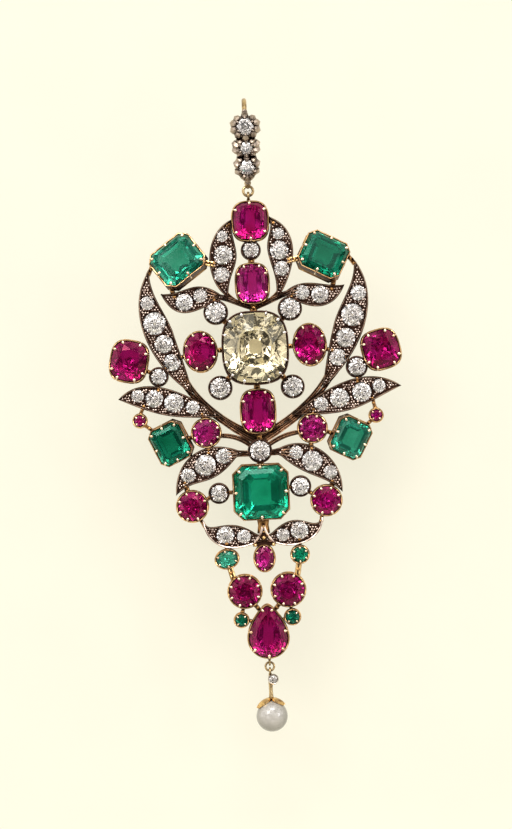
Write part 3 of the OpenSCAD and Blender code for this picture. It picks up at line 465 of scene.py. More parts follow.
# Lobes of the bail: height, width, reach up and down, taper of the foot, width of the diamond
lobes = [
    (-3.55, 4.5, 1.75, 1.75, 0, 2.4),
    (-6, 4.2, 1.6, 1.6, 0, 1.9),
    (-8.65, 3.7, 1.5, 2.5, 0.45, 2.2),
]


# Bodies that pieces ride, and a slot for each, which the pieces do not use
homes = {
    "bail": ("bail", "bail_silver"), "frame": ("pendant", "frame_metal"), "drop": ("pendant", "drop_gold"),
    "bail diamond": ("bail", "diamond"), "diamond": ("pendant", "diamond"),
    "pale diamond": ("pendant", "pale_yellow_diamond"), "ruby": ("pendant", "ruby"),
    "emerald": ("pendant", "emerald"), "pearl": ("pendant", "nacre"),
}


# Shapes

cuts = {
    "crop": (0.16, 0.59),  # an octagon's cropped corner: share of its narrower side, and of its growth
    "cushion": 2 / 2.9,  # power of a cushion's curve, where 1 is an ellipse
    "pear": (0.45, 0.63, 0.37, 0.13),  # how a pear narrows, its reach up and down, and how far it is lowered
    "girdle": (1.8, 0.4, 0.35),  # least depth of a girdle, and its share of the width and what is added
}


# Points round a circle
def circle(radius, count, high=0.0, start=0.0):
    return [Vector((radius * math.cos(a), radius * math.sin(a), high))
        for a in (start + 2 * math.pi * k / count for k in range(count))]


def curved(value, power):
    return math.copysign(abs(value) ** power, value)


def outline(cut, size, grow=0.0, steps=48):
    w, h = size[0] + 2 * grow, size[1] + 2 * grow
    if cut == "octagon":
        crop = cuts["crop"][0] * min(size) + cuts["crop"][1] * grow
        right, top = w / 2, h / 2
        ends = [(right, top - crop), (right - crop, top), (crop - right, top), (-right, top - crop),
            (-right, crop - top), (crop - right, -top), (right - crop, -top), (right, crop - top)]
        each = steps // 8
        edges = [(Vector(a), Vector(b)) for a, b in zip(ends, ends[1:] + ends[:1])]
        return [a.lerp(b, i / each) for a, b in edges for i in range(each)]
    points = []
    for i in range(steps):
        c, s = math.cos(2 * math.pi * i / steps), math.sin(2 * math.pi * i / steps)
        if cut == "pear":
            c, s = -s, c
            narrow, up, down, lower = cuts["pear"]
            x, y = c * (1 - narrow * max(s, 0) ** 2) / 2, s * (up if s > 0 else down) - lower
        else:
            power = cuts["cushion"] if cut == "cushion" else 1
            x, y = curved(c, power) / 2, curved(s, power) / 2
        points.append(Vector((w * x, h * y)))
    return points


def clawSpots(cut, size, claws):
    edge = outline(cut, size, 0, 2 * claws if cut != "octagon" else 8)
    stride = len(edge) // claws
    spots = []
    for i in range(claws):
        a, b = edge[i * stride], edge[(i * stride + stride) % len(edge)]
        at = (a + b) / 2 if stride == 1 else edge[i * stride + 1]
        spots.append((at, math.atan2(a.x - b.x, b.y - a.y)))
    return spots


def girdleAt(size):
    least, share, extra = cuts["girdle"]
    return max(least, min(size) * share + extra)


# A random step, in both directions at most 1
def sway():
    return Vector((random.uniform(-1, 1), random.uniform(-1, 1)))


upright = Matrix.Translation((0, backAt, 0)) @ Matrix.Rotation(math.pi / 2, 4, "X")


# From a stone's own space, its girdle at 0, to the pendant's
def setting(at, size, turn=0, lean=0):
    away = Vector(at) - faceMiddle
    facing = math.atan2(away.y, away.x)
    return (upright @ Matrix.Translation((at[0], at[1], girdleAt(size))) @ Matrix.Rotation(facing, 4, "Z")
        @ Matrix.Rotation(math.radians(lean), 4, "Y") @ Matrix.Rotation(math.radians(turn) - facing, 4, "Z"))


def bezier(start, a, b, end, steps):
    start, a, b, end = Vector(start), Vector(a), Vector(b), Vector(end)
    line = []
    for i in range(steps + 1):
        t = i / steps
        s = 1 - t
        line.append(start * s ** 3 + a * (3 * s * s * t) + b * (3 * s * t * t) + end * t ** 3)
    return line


# One curve or two, from the tip down to the root
def leafEdge(tip, ends, steps):
    line = bezier(tip, *ends[:3], steps)
    return line if len(ends) == 3 else line + bezier(ends[2], *ends[3:], steps)[1:]


# A closed outline, moved inwards, by no more than the room that each point has
def inset(line, by, room=None, sharpest=0.45, share=0.4):
    n = len(line)
    area = sum(line[i - 1].x * line[i].y - line[i].x * line[i - 1].y for i in range(n))
    moved = []
    for i, p in enumerate(line):
        a, b = (p - line[i - 1]).normalized(), (line[(i + 1) % n] - p).normalized()
        inward = Vector((-a.y - b.y, a.x + b.x)).normalized() * math.copysign(1, area)
        reach = by / max(abs(inward.dot(Vector((-a.y, a.x)))), sharpest)
        moved.append(p + inward * (min(reach, room[i] * share) if room else reach))
    return moved


def isInside(p, line):
    inside = False
    for a, b in zip(line, line[1:] + line[:1]):
        if (a.y > p.y) != (b.y > p.y) and p.x < a.x + (b.x - a.x) * (p.y - a.y) / (b.y - a.y):
            inside = not inside
    return inside


# The faces between two rings of n points
def belt(low, high, n):
    return [(low + i, low + (i + 1) % n, high + (i + 1) % n, high + i) for i in range(n)]


roundEnd = ((0.75, 0.6), (0.25, 0.95))  # rings of a rod's rounded end: share of its radius, and reach


# Points in mm and faces, gathered for one mesh
class Patch:

    def __init__(self):
        self.points, self.faces = [], []

    def loft(self, rings, looped=False):
        first, n, count = len(self.points), len(rings[0]), len(rings)
        for ring in rings:
            self.points += [Vector(p) for p in ring]
        for k in range(count if looped else count - 1):
            self.faces += belt(first + k * n, first + (k + 1) % count * n, n)
        if not looped:
            last = first + (count - 1) * n
            self.faces += [tuple(range(first, first + n)), tuple(range(last, last + n))]

    # A rod along a path. up is square to it, and tall stretches the rod that way
    def tube(self, path, radii, up, tall=1.0, sides=8, closed=False, blunt=False):
        path = [Vector(p) for p in path]
        n = len(path)
        radii = radii if isinstance(radii, list) else [radii] * n
        rings = []
        for i, (p, r) in enumerate(zip(path, radii)):
            before = path[i - 1] if closed else path[max(i - 1, 0)]
            along = (path[(i + 1) % n] if closed else path[min(i + 1, n - 1)]) - before
            high = (Vector(up) - Vector(up).project(along)).normalized()
            side = along.cross(high).normalized()
            rings.append([p + side * a.x * r + high * a.y * r * tall for a in circle(1, sides)])
        if not closed and not blunt:
            for end, beside in ((0, 1), (-1, -2)):
                middle = path[end]
                out = (middle - path[beside]).normalized() * radii[end]
                caps = [[middle + (p - middle) * share + out * reach for p in rings[end]]
                    for share, reach in roundEnd]
                rings = caps[::-1] + rings if end == 0 else rings + caps
        self.loft(rings, closed)

    # A wire ring round an axis
    def hoop(self, middle, radius, wire, axis, sides=12, steps=48):
        axis = Vector(axis)
        a = axis.orthogonal().normalized()
        b = axis.cross(a)
        path = [Vector(middle) + a * p.x + b * p.y for p in circle(radius, steps)]
        self.tube(path, wire, axis, 1.0, sides, closed=True)

    def build(self, name, finish, home, angle=35, orient=True):
        mesh = bpy.data.meshes.new(name)
        mesh.from_pydata(self.points, [], self.faces)
        if orient:
            work = bmesh.new()
            work.from_mesh(mesh)
            bmesh.ops.recalc_face_normals(work, faces=work.faces)
            work.to_mesh(mesh)
            work.free()
        mesh.transform(Matrix.Scale(mm, 4))
        mesh.shade_smooth()
        mesh.set_sharp_from_angle(angle=math.radians(angle))
        mesh.materials.append(finishes[finish])
        return addPiece(name, mesh, home)


def addPiece(name, mesh, home):
    piece = addObject(name, mesh)
    body, slot = homes[home]
    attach(piece, body)
    return piece


# Places in the pendant's own space for a place and a depth on its face
def onFace(p, depth):
    return Vector((p[0], backAt - depth, p[1]))


def faceSpot(x, z, depth):
    return upright @ Matrix.Translation((x, z, depth))


# Claws and grains, by geometry nodes on points

def nodeTree(name, inputs):
    tree = bpy.data.node_groups.new(name, "GeometryNodeTree")
    tree.interface.new_socket("Points", in_out="INPUT", socket_type="NodeSocketGeometry")
    for label, kind in {**inputs, "Material": "Material"}.items():
        tree.interface.new_socket(label, in_out="INPUT", socket_type="NodeSocket" + kind)
    tree.interface.new_socket("Mesh", in_out="OUTPUT", socket_type="NodeSocketGeometry")
    return tree, tree.nodes.new("NodeGroupInput").outputs, tree.nodes.new("NodeGroupOutput")


# Sets a shape on every point, turned and sized by the point's attributes
def scatter(tree, given, result, shape):
    smooth = addNode(tree, "GeometryNodeSetShadeSmooth", {"Geometry": shape})
    turn, size = (addNode(tree, "GeometryNodeInputNamedAttribute", {"Name": label}, data_type="FLOAT_VECTOR")
        for label in ("turn", "size"))
    rotation = addNode(tree, "FunctionNodeEulerToRotation", {0: turn.outputs["Attribute"]})
    spread = addNode(tree, "GeometryNodeInstanceOnPoints", {"Points": given["Points"],
        "Instance": smooth.outputs[0], "Rotation": rotation.outputs[0], "Scale": size.outputs["Attribute"]})
    real = addNode(tree, "GeometryNodeRealizeInstances", {0: spread.outputs[0]})
    paint = addNode(tree, "GeometryNodeSetMaterial", {0: real.outputs[0], "Material": given["Material"]})
    tree.links.new(paint.outputs[0], result.inputs[0])
    return tree


rodShape = {
    # Place along the rod and thickness there: first both ends, then between them
    "taper": ((0, 0.85), (1, 0.3), (0.6, 0.92), (0.84, 1.0), (0.94, 0.8)),
    "steps": (8, 7),  # steps along it, and its sides
    "bead": (8, 5), "press": (1.3, 1.0, 0.8),  # segments and rings of the bead at its tip, and its stretch
}


# A bent rod with a rounded tip on every point
def rodTree():
    tree, given, result = nodeTree("bentRods", {"Root": "Vector", "Root Handle": "Vector",
        "Tip Handle": "Vector", "Tip": "Vector", "Thickness": "Float", "Bead": "Float"})
    steps, sides = rodShape["steps"]
    path = addNode(tree, "GeometryNodeCurvePrimitiveBezierSegment", {"Start": given["Root"],
        "Start Handle": given["Root Handle"], "End Handle": given["Tip Handle"], "End": given["Tip"],
        "Resolution": steps}, mode="POSITION")
    along = addNode(tree, "GeometryNodeSplineParameter", {})
    taper = addNode(tree, "ShaderNodeFloatCurve", {"Value": along.outputs["Factor"]})
    points = taper.mapping.curves[0].points
    points[0].location, points[1].location = rodShape["taper"][:2]
    for at in rodShape["taper"][2:]:
        points.new(*at)
    taper.mapping.update()
    ring = addNode(tree, "GeometryNodeCurvePrimitiveCircle", {"Resolution": sides,
        "Radius": given["Thickness"]})
    body = addNode(tree, "GeometryNodeCurveToMesh", {"Curve": path.outputs[0],
        "Profile Curve": ring.outputs[0], "Scale": taper.outputs[0], "Fill Caps": True})
    segments, rings = rodShape["bead"]
    bead = addNode(tree, "GeometryNodeMeshUVSphere", {"Segments": segments, "Rings": rings,
        "Radius": given["Bead"]})
    press = addNode(tree, "GeometryNodeTransform", {"Geometry": bead.outputs["Mesh"],
        "Translation": given["Tip"], "Scale": rodShape["press"]})
    both = addNode(tree, "GeometryNodeJoinGeometry", {0: body.outputs[0]})
    tree.links.new(press.outputs[0], both.inputs[0])
    return scatter(tree, given, result, both.outputs[0])


# A small ball on every point
def grainTree():
    tree, given, result = nodeTree("grains", {})
    segments, rings = rodShape["bead"]
    ball = addNode(tree, "GeometryNodeMeshUVSphere", {"Radius": 1, "Segments": segments, "Rings": rings})
    return scatter(tree, given, result, ball.outputs[0])


# Runs a node tree on spots, each a matrix in mm and a size, and keeps the plain mesh
def grow(name, tree, spots, finish, home, values={}):
    mesh = bpy.data.meshes.new(name)
    mesh.from_pydata([spot.to_translation() * mm for spot, _ in spots], [], [])
    turn, size = (mesh.attributes.new(label, "FLOAT_VECTOR", "POINT") for label in ("turn", "size"))
    for i, (spot, scale) in enumerate(spots):
        turn.data[i].vector = spot.to_euler()
        size.data[i].vector = Vector(scale) * mm if isinstance(scale, tuple) else (scale * mm,) * 3
    piece = addObject(name + "_points", mesh)
    modifier = piece.modifiers.new("grow", "NODES")
    modifier.node_group = tree
    values = {**values, "Material": finishes[finish]}
    for item in tree.interface.items_tree:
        if item.in_out == "INPUT" and item.name in values:
            modifier[item.identifier] = values[item.name]
    made = bpy.data.meshes.new_from_object(piece.evaluated_get(bpy.context.evaluated_depsgraph_get()))
    bpy.data.objects.remove(piece)
    made.name = name
    return addPiece(name, made, home)


rods, balls = rodTree(), grainTree()


# Collets and claws

collet = {
    # Height and growth of the wall's section: from the base, then from the girdle, and growth at the back
    "wall": [(0.0, 0.13), (0.0, 0.26), (0.1, 0.33), (0.28, 0.33), (0.4, 0.22)],
    "seat": [(-0.5, 0.215), (0.0, 0.262), (0.09, 0.25), (0.13, 0.19), (0.13, 0.1), (0.07, 0.055),
        (-0.33, 0.052), (-0.36, -0.24), (-0.5, -0.27)],
    "bore": -0.2,
    "scallop": 0.17, "fade": 0.3,  # how far the edge dips between two claws, and how far down that shows
    "claw": {"Root": (0.22, 0, -1.1), "Root Handle": (0.27, 0, 0.05), "Tip Handle": (0.14, 0, 0.5),
        "Tip": (-0.16, 0, 0.42), "Thickness": 0.16, "Bead": 0.21},  # path and thickness of a claw, in mm
    "claws": (5, 0.62, 1.1),  # width of a stone with such claws, and the least and most scale on others
    "line": (0.1, 0.16, 0.075),  # the rubbed bright edge: height over the girdle, growth, thickness
}
girdleHigh = 0.14  # height of a stone's girdle


def addCollet(patch, edges, cut, size, place, spots):
    base = girdleAt(size)
    apart = min((spots[i][0] - spots[i - 1][0]).length for i in range(len(spots)))
    dip = []
    for p in outline(cut, size):
        near = min((p - spot).length for spot, _ in spots) / (apart / 2)
        dip.append(collet["scallop"] * min(near, 1) ** 2)
    profile = [(h - base, g) for h, g in collet["wall"]] + collet["seat"] + [(-base, collet["bore"])]
    rings = []
    for h, g in profile:
        share = min(max(h / collet["fade"] + 1, 0), 1)
        rings.append([place @ Vector((p.x, p.y, h - d * share)) for p, d in zip(outline(cut, size, g), dip)])
    patch.loft(rings, looped=True)
    if edges:
        high, growth, thick = collet["line"]
        path = [place @ Vector((p.x, p.y, high - d)) for p, d in zip(outline(cut, size, growth), dip)]
        edges.tube(path, thick, place.to_3x3() @ Vector((0, 0, 1)), 1.0, 6, closed=True)


goldCollets, silverCollets, giltEdges = Patch(), Patch(), Patch()
goldClaws, silverClaws = [], []
for name, cut, at, size, claws, *turned in stones:
    silver = "diamond" in name
    place, spots = setting(at, size, *turned), clawSpots(cut, size, claws)
    patch, edges = (silverCollets, None) if silver else (goldCollets, giltEdges)
    addCollet(patch, edges, cut, size, place, spots)
    usual, least, most = collet["claws"]
    scale = min(max((min(size) / usual) ** 0.5, least), most)
    for spot, facing in spots:
        claw = place @ Matrix.Translation((spot.x, spot.y, girdleHigh)) @ Matrix.Rotation(facing, 4, "Z")
        (silverClaws if silver else goldClaws).append((claw, scale))
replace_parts(goldCollets.build("gold_collets", "collet gold", "frame"), "frame")
silverCollets.build("silver_collets", "collet silver", "frame")
giltEdges.build("gilt_edges", "gilt", "frame")
grow("gold_claws", rods, goldClaws, "claw gold", "frame", collet["claw"])
grow("silver_claws", rods, silverClaws, "claw silver", "frame", collet["claw"])
print("stage: collets and claws")


# Stones in the leaves, and all the others

holeSides = 24  # sides of round holes and tubes
# A tube's section: share of its length and height in mm, then shares of the stone's radius and of the wall,
# and what is added in mm
tubeSection = [(1, 0, 1, 0.7, 0), (1, 0.1, 1, 1, 0), (0, 0.04, 1, 1, 0), (0, 0.12, 1, 0.6, 0),
    (0, 0.1, 1, 0, 0.04), (0, -0.12, 1, 0, 0.02), (0, -0.45, 0.72, 0, 0), (1, 0, 0.7, 0, 0)]


# A tube that holds a round stone, girdle at 0 of the given place
def addTube(patch, place, wide, wall, depth):
    profile = [(h - depth * low, wide / 2 * inner + wall * outer + more)
        for low, h, inner, outer, more in tubeSection]
    patch.loft([[place @ p for p in circle(radius, holeSides, h)] for h, radius in profile], looped=True)


smallCut = {
    "table": 0.5, "star": 0.78,  # the table and the stars, as shares of the width
    "crown": 0.18, "pavilion": 0.42,  # heights above and below the girdle, as shares of the width
    "lower": 0.5, "inner": 0.6, "culet": 0.1,  # where the lower halves meet, their feet, and the flat point
    "shake": 0.015, "off": 0.02,  # how uneven the facets are, and how far the culet may be off the middle
    "girdle": 0.03, "belly": 1.02,  # height of the girdle, and how deep the feet would meet, as a share
    "lean": 5, "spin": 6.28,  # the most that a diamond leans, in degrees, and turns, in radians
}
centreCut = {**smallCut, "star": 0.76, "pavilion": 0.38, "lower": 0.6, "culet": 0.21, "shake": 0.03}
mixedCut = {**smallCut, "table": 0.6, "star": 0.82, "crown": 0.17, "pavilion": 0.4, "lower": 0.6,
    "shake": 0.05, "off": 0.16}
# A step cut's rings: shares of its width and its height, and level as a share of the narrower
stepRings = [(0.05, 0.6, -0.43), (0.28, 0.72, -0.37), (0.55, 0.84, -0.26), (0.8, 0.93, -0.13), (1, 1, 0)]
stepCrown = [(1, 1, 0), (0.84, 0.87, 0.1), (0.64, 0.7, 0.17)]
squareRings = [(0.1, 0.24, -0.42), (0.38, 0.48, -0.34), (0.64, 0.71, -0.22), (0.85, 0.88, -0.1), (1, 1, 0)]
squareCrown = [(1, 1, 0), (0.87, 0.88, 0.1), (0.7, 0.71, 0.145)]
stepped = ("top_ruby", "upper_ruby", "lower_ruby", "pear_ruby")


# An old brilliant on a rim of an even number of points, its girdle's foot at the origin
def brilliant(patch, place, rim, wide, values, girdle):
    n, half = len(rim) // 2, math.cos(math.pi / len(rim))
    crown, deep = values["crown"] * wide, values["pavilion"] * wide
    odd, even = rim[1::2], rim[::2]
    aside = sway().to_3d() * values["off"] * wide

    def row(spots, share, high, shake):
        off = aside * (1 - share) if high < 0 else Vector((0, 0, 0))
        return [Vector((*(p * share * (1 + random.uniform(-1, 1) * shake)), high)) + off for p in spots]

    starHigh = girdle + crown * (1 - values["star"] * half) / (1 - values["table"])
    low, shake = values["lower"], values["shake"]
    middle = low * values["inner"]
    rows = [row(even, values["table"], girdle + crown, 0), row(odd, values["star"], starHigh, shake),
        row(rim, 1, girdle, 0), row(rim, 1, 0, 0), row(odd, low, -deep * (1 - low * half), shake * 2),
        row(even, middle, -deep * (values["belly"] - middle), shake * 2), row(odd, values["culet"], -deep, 0)]
    points = [p for spots in rows for p in spots]
    star, upper, lower, deepStar, inner, culet = n, 2 * n, 4 * n, 6 * n, 7 * n, 8 * n
    faces = [tuple(range(n)), tuple(range(culet, culet + n))]
    for i in range(n):
        j, k, a = (i + 1) % n, (i - 1) % n, 2 * i
        c = (a + 2) % (2 * n)
        faces += [(i, j, star + i), (i, star + i, upper + a), (i, upper + a, star + k),
            (upper + a + 1, upper + a, star + i), (upper + c, upper + a + 1, star + i),
            (upper + a, upper + a + 1, lower + a + 1, lower + a),
            (upper + a + 1, upper + c, lower + c, lower + a + 1),
            (lower + a, lower + a + 1, deepStar + i), (lower + a + 1, lower + c, deepStar + i),
            (inner + i, deepStar + k, lower + a), (inner + i, lower + a, deepStar + i),
            (inner + i, deepStar + i, inner + j), (inner + i, inner + j, culet + i),
            (inner + i, culet + i, culet + k)]
    centre = Vector((0, 0, -deep / 3))
    first = len(patch.points)
    patch.points += [place @ p for p in points]
    for face in faces:
        a, b, c = (points[k] for k in face[:3])
        out = (b - a).cross(c - b).dot((a + b + c) / 3 - centre) > 0
        patch.faces.append(tuple(first + k for k in (face if out else face[::-1])))


# A diamond at a place in the pendant's own space, turned and leaned a little at random
def looseDiamond(patch, place, wide, pavilion=smallCut["pavilion"]):
    lean = Matrix.Rotation(math.radians(random.uniform(-1, 1) * smallCut["lean"]), 4, "X")
    place = place @ Matrix.Rotation(random.uniform(0, smallCut["spin"]), 4, "Z") @ lean
    values = {**smallCut, "pavilion": pavilion}
    brilliant(patch, place, outline("round", (wide, wide), 0, 16), wide, values, smallCut["girdle"] * wide)


# Leaves

leafShape = {
    # Depth and inset of the plate's section, from the back to the front
    "section": [(0.2, 0.14), (0.34, 0.02), (1.62, 0.0), (1.78, 0.05), (1.84, 0.12), (1.78, 0.19),
        (1.4, 0.24)],
    "steps": 24,  # points along each edge
    "root": 1.3,  # length of the wedge that runs into the stem, as a share of the root's width
    "girdle": 1.6,  # depth of the diamonds' girdles
    "ledge": 0.15,  # how far the plate reaches under a diamond
    "tube": (0.15, 1.1),  # wall and length of the tube round a diamond
    "turns": (50, 130, 230, 310),  # where the grains sit that hold a diamond, in degrees from the leaf's run
    "grain": (0.17, 0.04, 1.78),  # their radius, distance from the diamond and depth
    "by width": (0.75, 0.1),  # how their radius follows the diamond's width
    "bead gap": 0.4, "rows": 0.87,  # spacing of the grains that fill the leaf, and of their rows as a share
    "shake": 0.05, "bead": (0.14, 0.22),  # how uneven that spacing is, and the grains' radii
    "free": (0.3, 0.16),  # how far they keep from the edge and from a diamond
    "bead depth": 1.5,
}


# The leaf's plate, open behind every diamond
def leafPlate(patch, line, room, seats):
    section, n, first = leafShape["section"], len(line), len(patch.points)
    for depth, by in section:
        patch.points += [onFace(p, depth) for p in inset(line, by, room)]
    for k in range(len(section) - 1):
        patch.faces += belt(first + k * n, first + (k + 1) * n, n)
    around, holes = circle(1, holeSides), []
    for end in (0, len(section) - 1):
        depth, by = section[end]
        index = [first + end * n + i for i in range(n)]
        loops = [[p.to_3d() for p in inset(line, by, room)]]
        holes.append([])
        for at, wide in seats:
            r = wide / 2 - leafShape["ledge"]
            ring = [at + p.to_2d() * r for p in around]
            holes[-1].append(len(patch.points))
            index += [len(patch.points) + i for i in range(holeSides)]
            patch.points += [onFace(p, depth) for p in ring]
            loops.append([p.to_3d() for p in ring])
        patch.faces += [tuple(index[i] for i in face) for face in tessellate_polygon(loops)]
    for low, high in zip(*holes):
        patch.faces += belt(low, high, holeSides)


tubes, plates = Patch(), Patch()
leafGrains = []
for leafName, (tip, outer, inner) in leaves.items():
    outerLine, innerLine = (leafEdge(tip, side, leafShape["steps"]) for side in (outer, inner))
    a, b = outerLine[-1], innerLine[-1]
    onwards = ((a - outerLine[-2]).normalized() + (b - innerLine[-2]).normalized()).normalized()
    end = (a + b) / 2 + onwards * (a - b).length * leafShape["root"]
    line = outerLine + [a.lerp(end, 0.5), end, b.lerp(end, 0.5)] + innerLine[:0:-1]
    room = [min((p - q).length for q in innerLine) for p in outerLine] + [(a - b).length / 2] * 3
    room += [min((p - q).length for q in outerLine) for p in innerLine[:0:-1]]
    seats = [(Vector((x, z)), wide) for x, z, wide in leafDiamonds[leafName]]
    leafPlate(plates, line, room, seats)
    stonePatch = Patch()
    for i, (at, wide) in enumerate(seats):
        place = faceSpot(at.x, at.y, leafShape["girdle"])
        addTube(tubes, place, wide, *leafShape["tube"])
        looseDiamond(stonePatch, place, wide)
        before, after = seats[max(i - 1, 0)][0], seats[min(i + 1, len(seats) - 1)][0]
        way = math.atan2(after.y - before.y, after.x - before.x)
        radius, off, depth = leafShape["grain"]
        kept, grown = leafShape["by width"]
        for turn in leafShape["turns"]:
            a = way + math.radians(turn)
            spot = at + Vector((math.cos(a), math.sin(a))) * (wide / 2 + off)
            leafGrains.append((faceSpot(spot.x, spot.y, depth), radius * (kept + grown * wide)))
    leafStones = stonePatch.build(leafName + "_stones", "diamond", "diamond", 1, False)
    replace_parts(leafStones, leafName + "_diamonds")
    fromEdge, fromStone = leafShape["free"]
    bed, gap = inset(line, fromEdge, room), leafShape["bead gap"]
    left, low, rise = min(p.x for p in bed), min(p.y for p in bed), gap * leafShape["rows"]
    for i in range(int((max(p.x for p in bed) - left) / gap) + 1):
        for j in range(int((max(p.y for p in bed) - low) / rise) + 1):
            p = Vector((left + (i + j % 2 / 2) * gap, low + j * rise)) + sway() * leafShape["shake"]
            if isInside(p, bed) and min((p - at).length - wide / 2 for at, wide in seats) > fromStone:
                spot = faceSpot(p.x, p.y, leafShape["bead depth"])
                leafGrains.append((spot, random.uniform(*leafShape["bead"])))
plates.build("leaf_plates", "leaf silver", "frame")
tubes.build("leaf_tubes", "collet silver", "frame")
grow("leaf_grains", balls, leafGrains, "grain silver", "frame")
for name, cut, at, size, _, *turned in stones:
    stonePatch, place, wide = Patch(), setting(at, size, *turned), min(size)
    kind, inSteps = kindOf(name), name in stepped or cut == "octagon"
    if inSteps:
        low, high, count = (squareRings, squareCrown, 8) if cut == "octagon" else (stepRings, stepCrown, 16)
        rim = outline(cut, size, 0, count)
        stonePatch.loft([[place @ Vector((p.x * x, p.y * y, wide * h + lift)) for p in rim]
            for rings, lift in ((low, 0), (high, girdleHigh)) for x, y, h in rings])
    elif name == "centre_diamond":
        kind = "pale diamond"
        brilliant(stonePatch, place, outline(cut, size, 0, 24), wide, centreCut, girdleHigh)
    elif kind == "diamond":
        looseDiamond(stonePatch, place, wide)
    else:
        brilliant(stonePatch, place, outline(cut, size, 0, 16), wide, mixedCut, girdleHigh)
    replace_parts(stonePatch.build(name + "_stone", gemFor(name), kind, 1, inSteps), name)
print("stage: leaves")


# Stems, solder bars and bracket

stemShape = {
    "steps": 20,  # points along a stem
    "lead": 1.6,  # how far a stem's reeds run on over its leaf, parting, tapering and rising
    "part": (2.0, 1.5, 1.0), "taper": (0.3, 0.75, 1), "rise": (0.72, 0.68, 0.4),
    # The core and the reeds: place across the stem and radius, as shares of its width, and how deep they lie
    "rods": ((0, 0.5, 0.55), (-0.34, 0.17, 0.1), (0, 0.17, 0.0), (0.34, 0.17, 0.1)),
    "high": 0.3,  # half the height of each
    "ends": 0.75,  # their radius at the ends, as a share
}
joints = {
    "bulk": 1.2,  # how much wider a bar is than its table says
    "foot": 0.45, "top": 1.55,  # depths of a bar's back and front
    "overlap": 0.1,  # how far it runs into what it joins
    "girth": [(0.3, 0.9), (0.5, 0.82), (0.7, 0.9)],  # place along a bar between its ends, and width there
    "grain": (0.3, 0.05), "spread": 0.08, "sizes": (0.8, 1.15),  # the solder beads: radius, depth, play
    "beads": (0.05, 0.5, 0.95), "few": (0.15, 0.85),  # their places along a bar
    "short": 0.9,  # shorter bars have few
    "pronged": [(-6.8, -22), (6.8, -22), (-5, -64.7), (4.8, -64.4)],  # starts of the bars with two prongs
    "prong": (0.23, 0.2, 1.45, 1.4),  # distance from the bar's middle, radius, depth, stretch forward
}
bracket = {
    "plate": ((0, -59.4), (-1.6, -62.1), (1.6, -62.1)), "depths": (0.6, 1.35),
    "rail": ((0.08, -59.1), (0.2, -60.1), (0.7, -60.9), (1.5, -61.75)),  # the right one, mirrored at the left
    "rails": (1.45, 0.22, 1.8),  # depth, radius, stretch forward
    "rims": (1.78, 0.13, 1.2),  # the same of the bright rims under the base leaves
    "inwards": ((4.5, -60.4), 0.03),  # the point that the rims are drawn to, and how far
    "grains": ((0, -60.9, 0.3), (-1.2, -61.9, 0.27), (1.3, -61.9, 0.27), (0, -59.3, 0.24)),
    "grain depth": 1.75,
}
forward = (0, -1, 0)
stemPatch, barPatch, prongPatch, bracketPatch, loopPatch, platePatch = (Patch() for _ in range(6))
for start, a, b, end, wide, top in stems:
    line = bezier(start, a, b, end, stemShape["steps"])
    lead = (line[0] - line[1]).normalized() * stemShape["lead"]
    line = [line[0] + lead, line[0] + lead / 2] + line
    last, high, ends = len(line) - 1, stemShape["high"], stemShape["ends"]
    for side, share, sunk in stemShape["rods"]:
        path, radii = [], []
        for i, p in enumerate(line):
            along = (line[min(i + 1, last)] - line[max(i - 1, 0)]).normalized()
            part, taper, rise = [stemShape[k][i] for k in ("part", "taper", "rise")] if i < 3 else (1, 1, 0)
            spot = p + Vector((-along.y, along.x)) * side * wide * part
            path.append(onFace(spot, top - high - sunk + rise))
            swell = ends + (1 - ends) * math.sin(math.pi * (i + 1) / (last + 2))
            radii.append(wide * share * swell * taper)
        skip = 3 if share == 0.5 else 0
        stemPatch.tube(path[skip:], radii[skip:], forward, high / (wide * share))
beads = []
for x, z, endX, endZ, wide in bars:
    a, b, radius = Vector((x, z)), Vector((endX, endZ)), wide * joints["bulk"] / 2
    along = (b - a).normalized()
    lap = along * joints["overlap"]
    path = [a - lap] + [a.lerp(b, share) for share, _ in joints["girth"]] + [b + lap]
    if (x, z) in joints["pronged"]:
        off, thick, depth, tall = joints["prong"]
        for side in (-1, 1):
            across = Vector((-along.y, along.x)) * side * off
            prongPatch.tube([onFace(p + across, depth) for p in path], thick, forward, tall)
    half = (joints["top"] - joints["foot"]) / 2
    radii = [radius] + [radius * share for _, share in joints["girth"]] + [radius]
    barPatch.tube([onFace(p, joints["foot"] + half) for p in path], radii, forward, half / radius, blunt=True)
    grain, sunk = joints["grain"]
    for share in joints["few" if (b - a).length < joints["short"] else "beads"]:
        spot = a.lerp(b, share) + sway() * joints["spread"]
        spot = faceSpot(spot.x, spot.y, joints["top"] - sunk)
        beads.append((spot, grain * random.uniform(*joints["sizes"])))
platePatch.loft([[onFace(p, depth) for p in bracket["plate"]] for depth in bracket["depths"]])
for side, base in ((-1, "base_leaf_left"), (1, "base_leaf_right")):
    depth, radius, tall = bracket["rails"]
    rail = bezier(*((side * x, z) for x, z in bracket["rail"]), 8)
    bracketPatch.tube([onFace(p, depth) for p in rail], radius, forward, tall)
    depth, radius, tall = bracket["rims"]
    (x, z), share = bracket["inwards"]
    tip, outer, _ = leaves[base]
    rim = [p.lerp(Vector((side * x, z)), share) for p in leafEdge(tip, outer, 20)[::-1]]
    bracketPatch.tube([onFace(p, depth) for p in rim], radius, forward, tall)
bracketGrains = [(faceSpot(x, z, bracket["grain depth"]), r) for x, z, r in bracket["grains"]]
for name, patch, finish in (("stems", stemPatch, "stem silver"), ("solder_bars", barPatch, "solder"),
        ("bright_prongs", prongPatch, "bright gold"), ("bracket", bracketPatch, "grain silver"),
        ("bracket_plate", platePatch, "leaf silver")):
    patch.build(name, finish, "frame")
grow("solder_beads", balls, beads, "solder", "frame")
grow("bracket_grains", balls, bracketGrains, "bright gold", "frame")

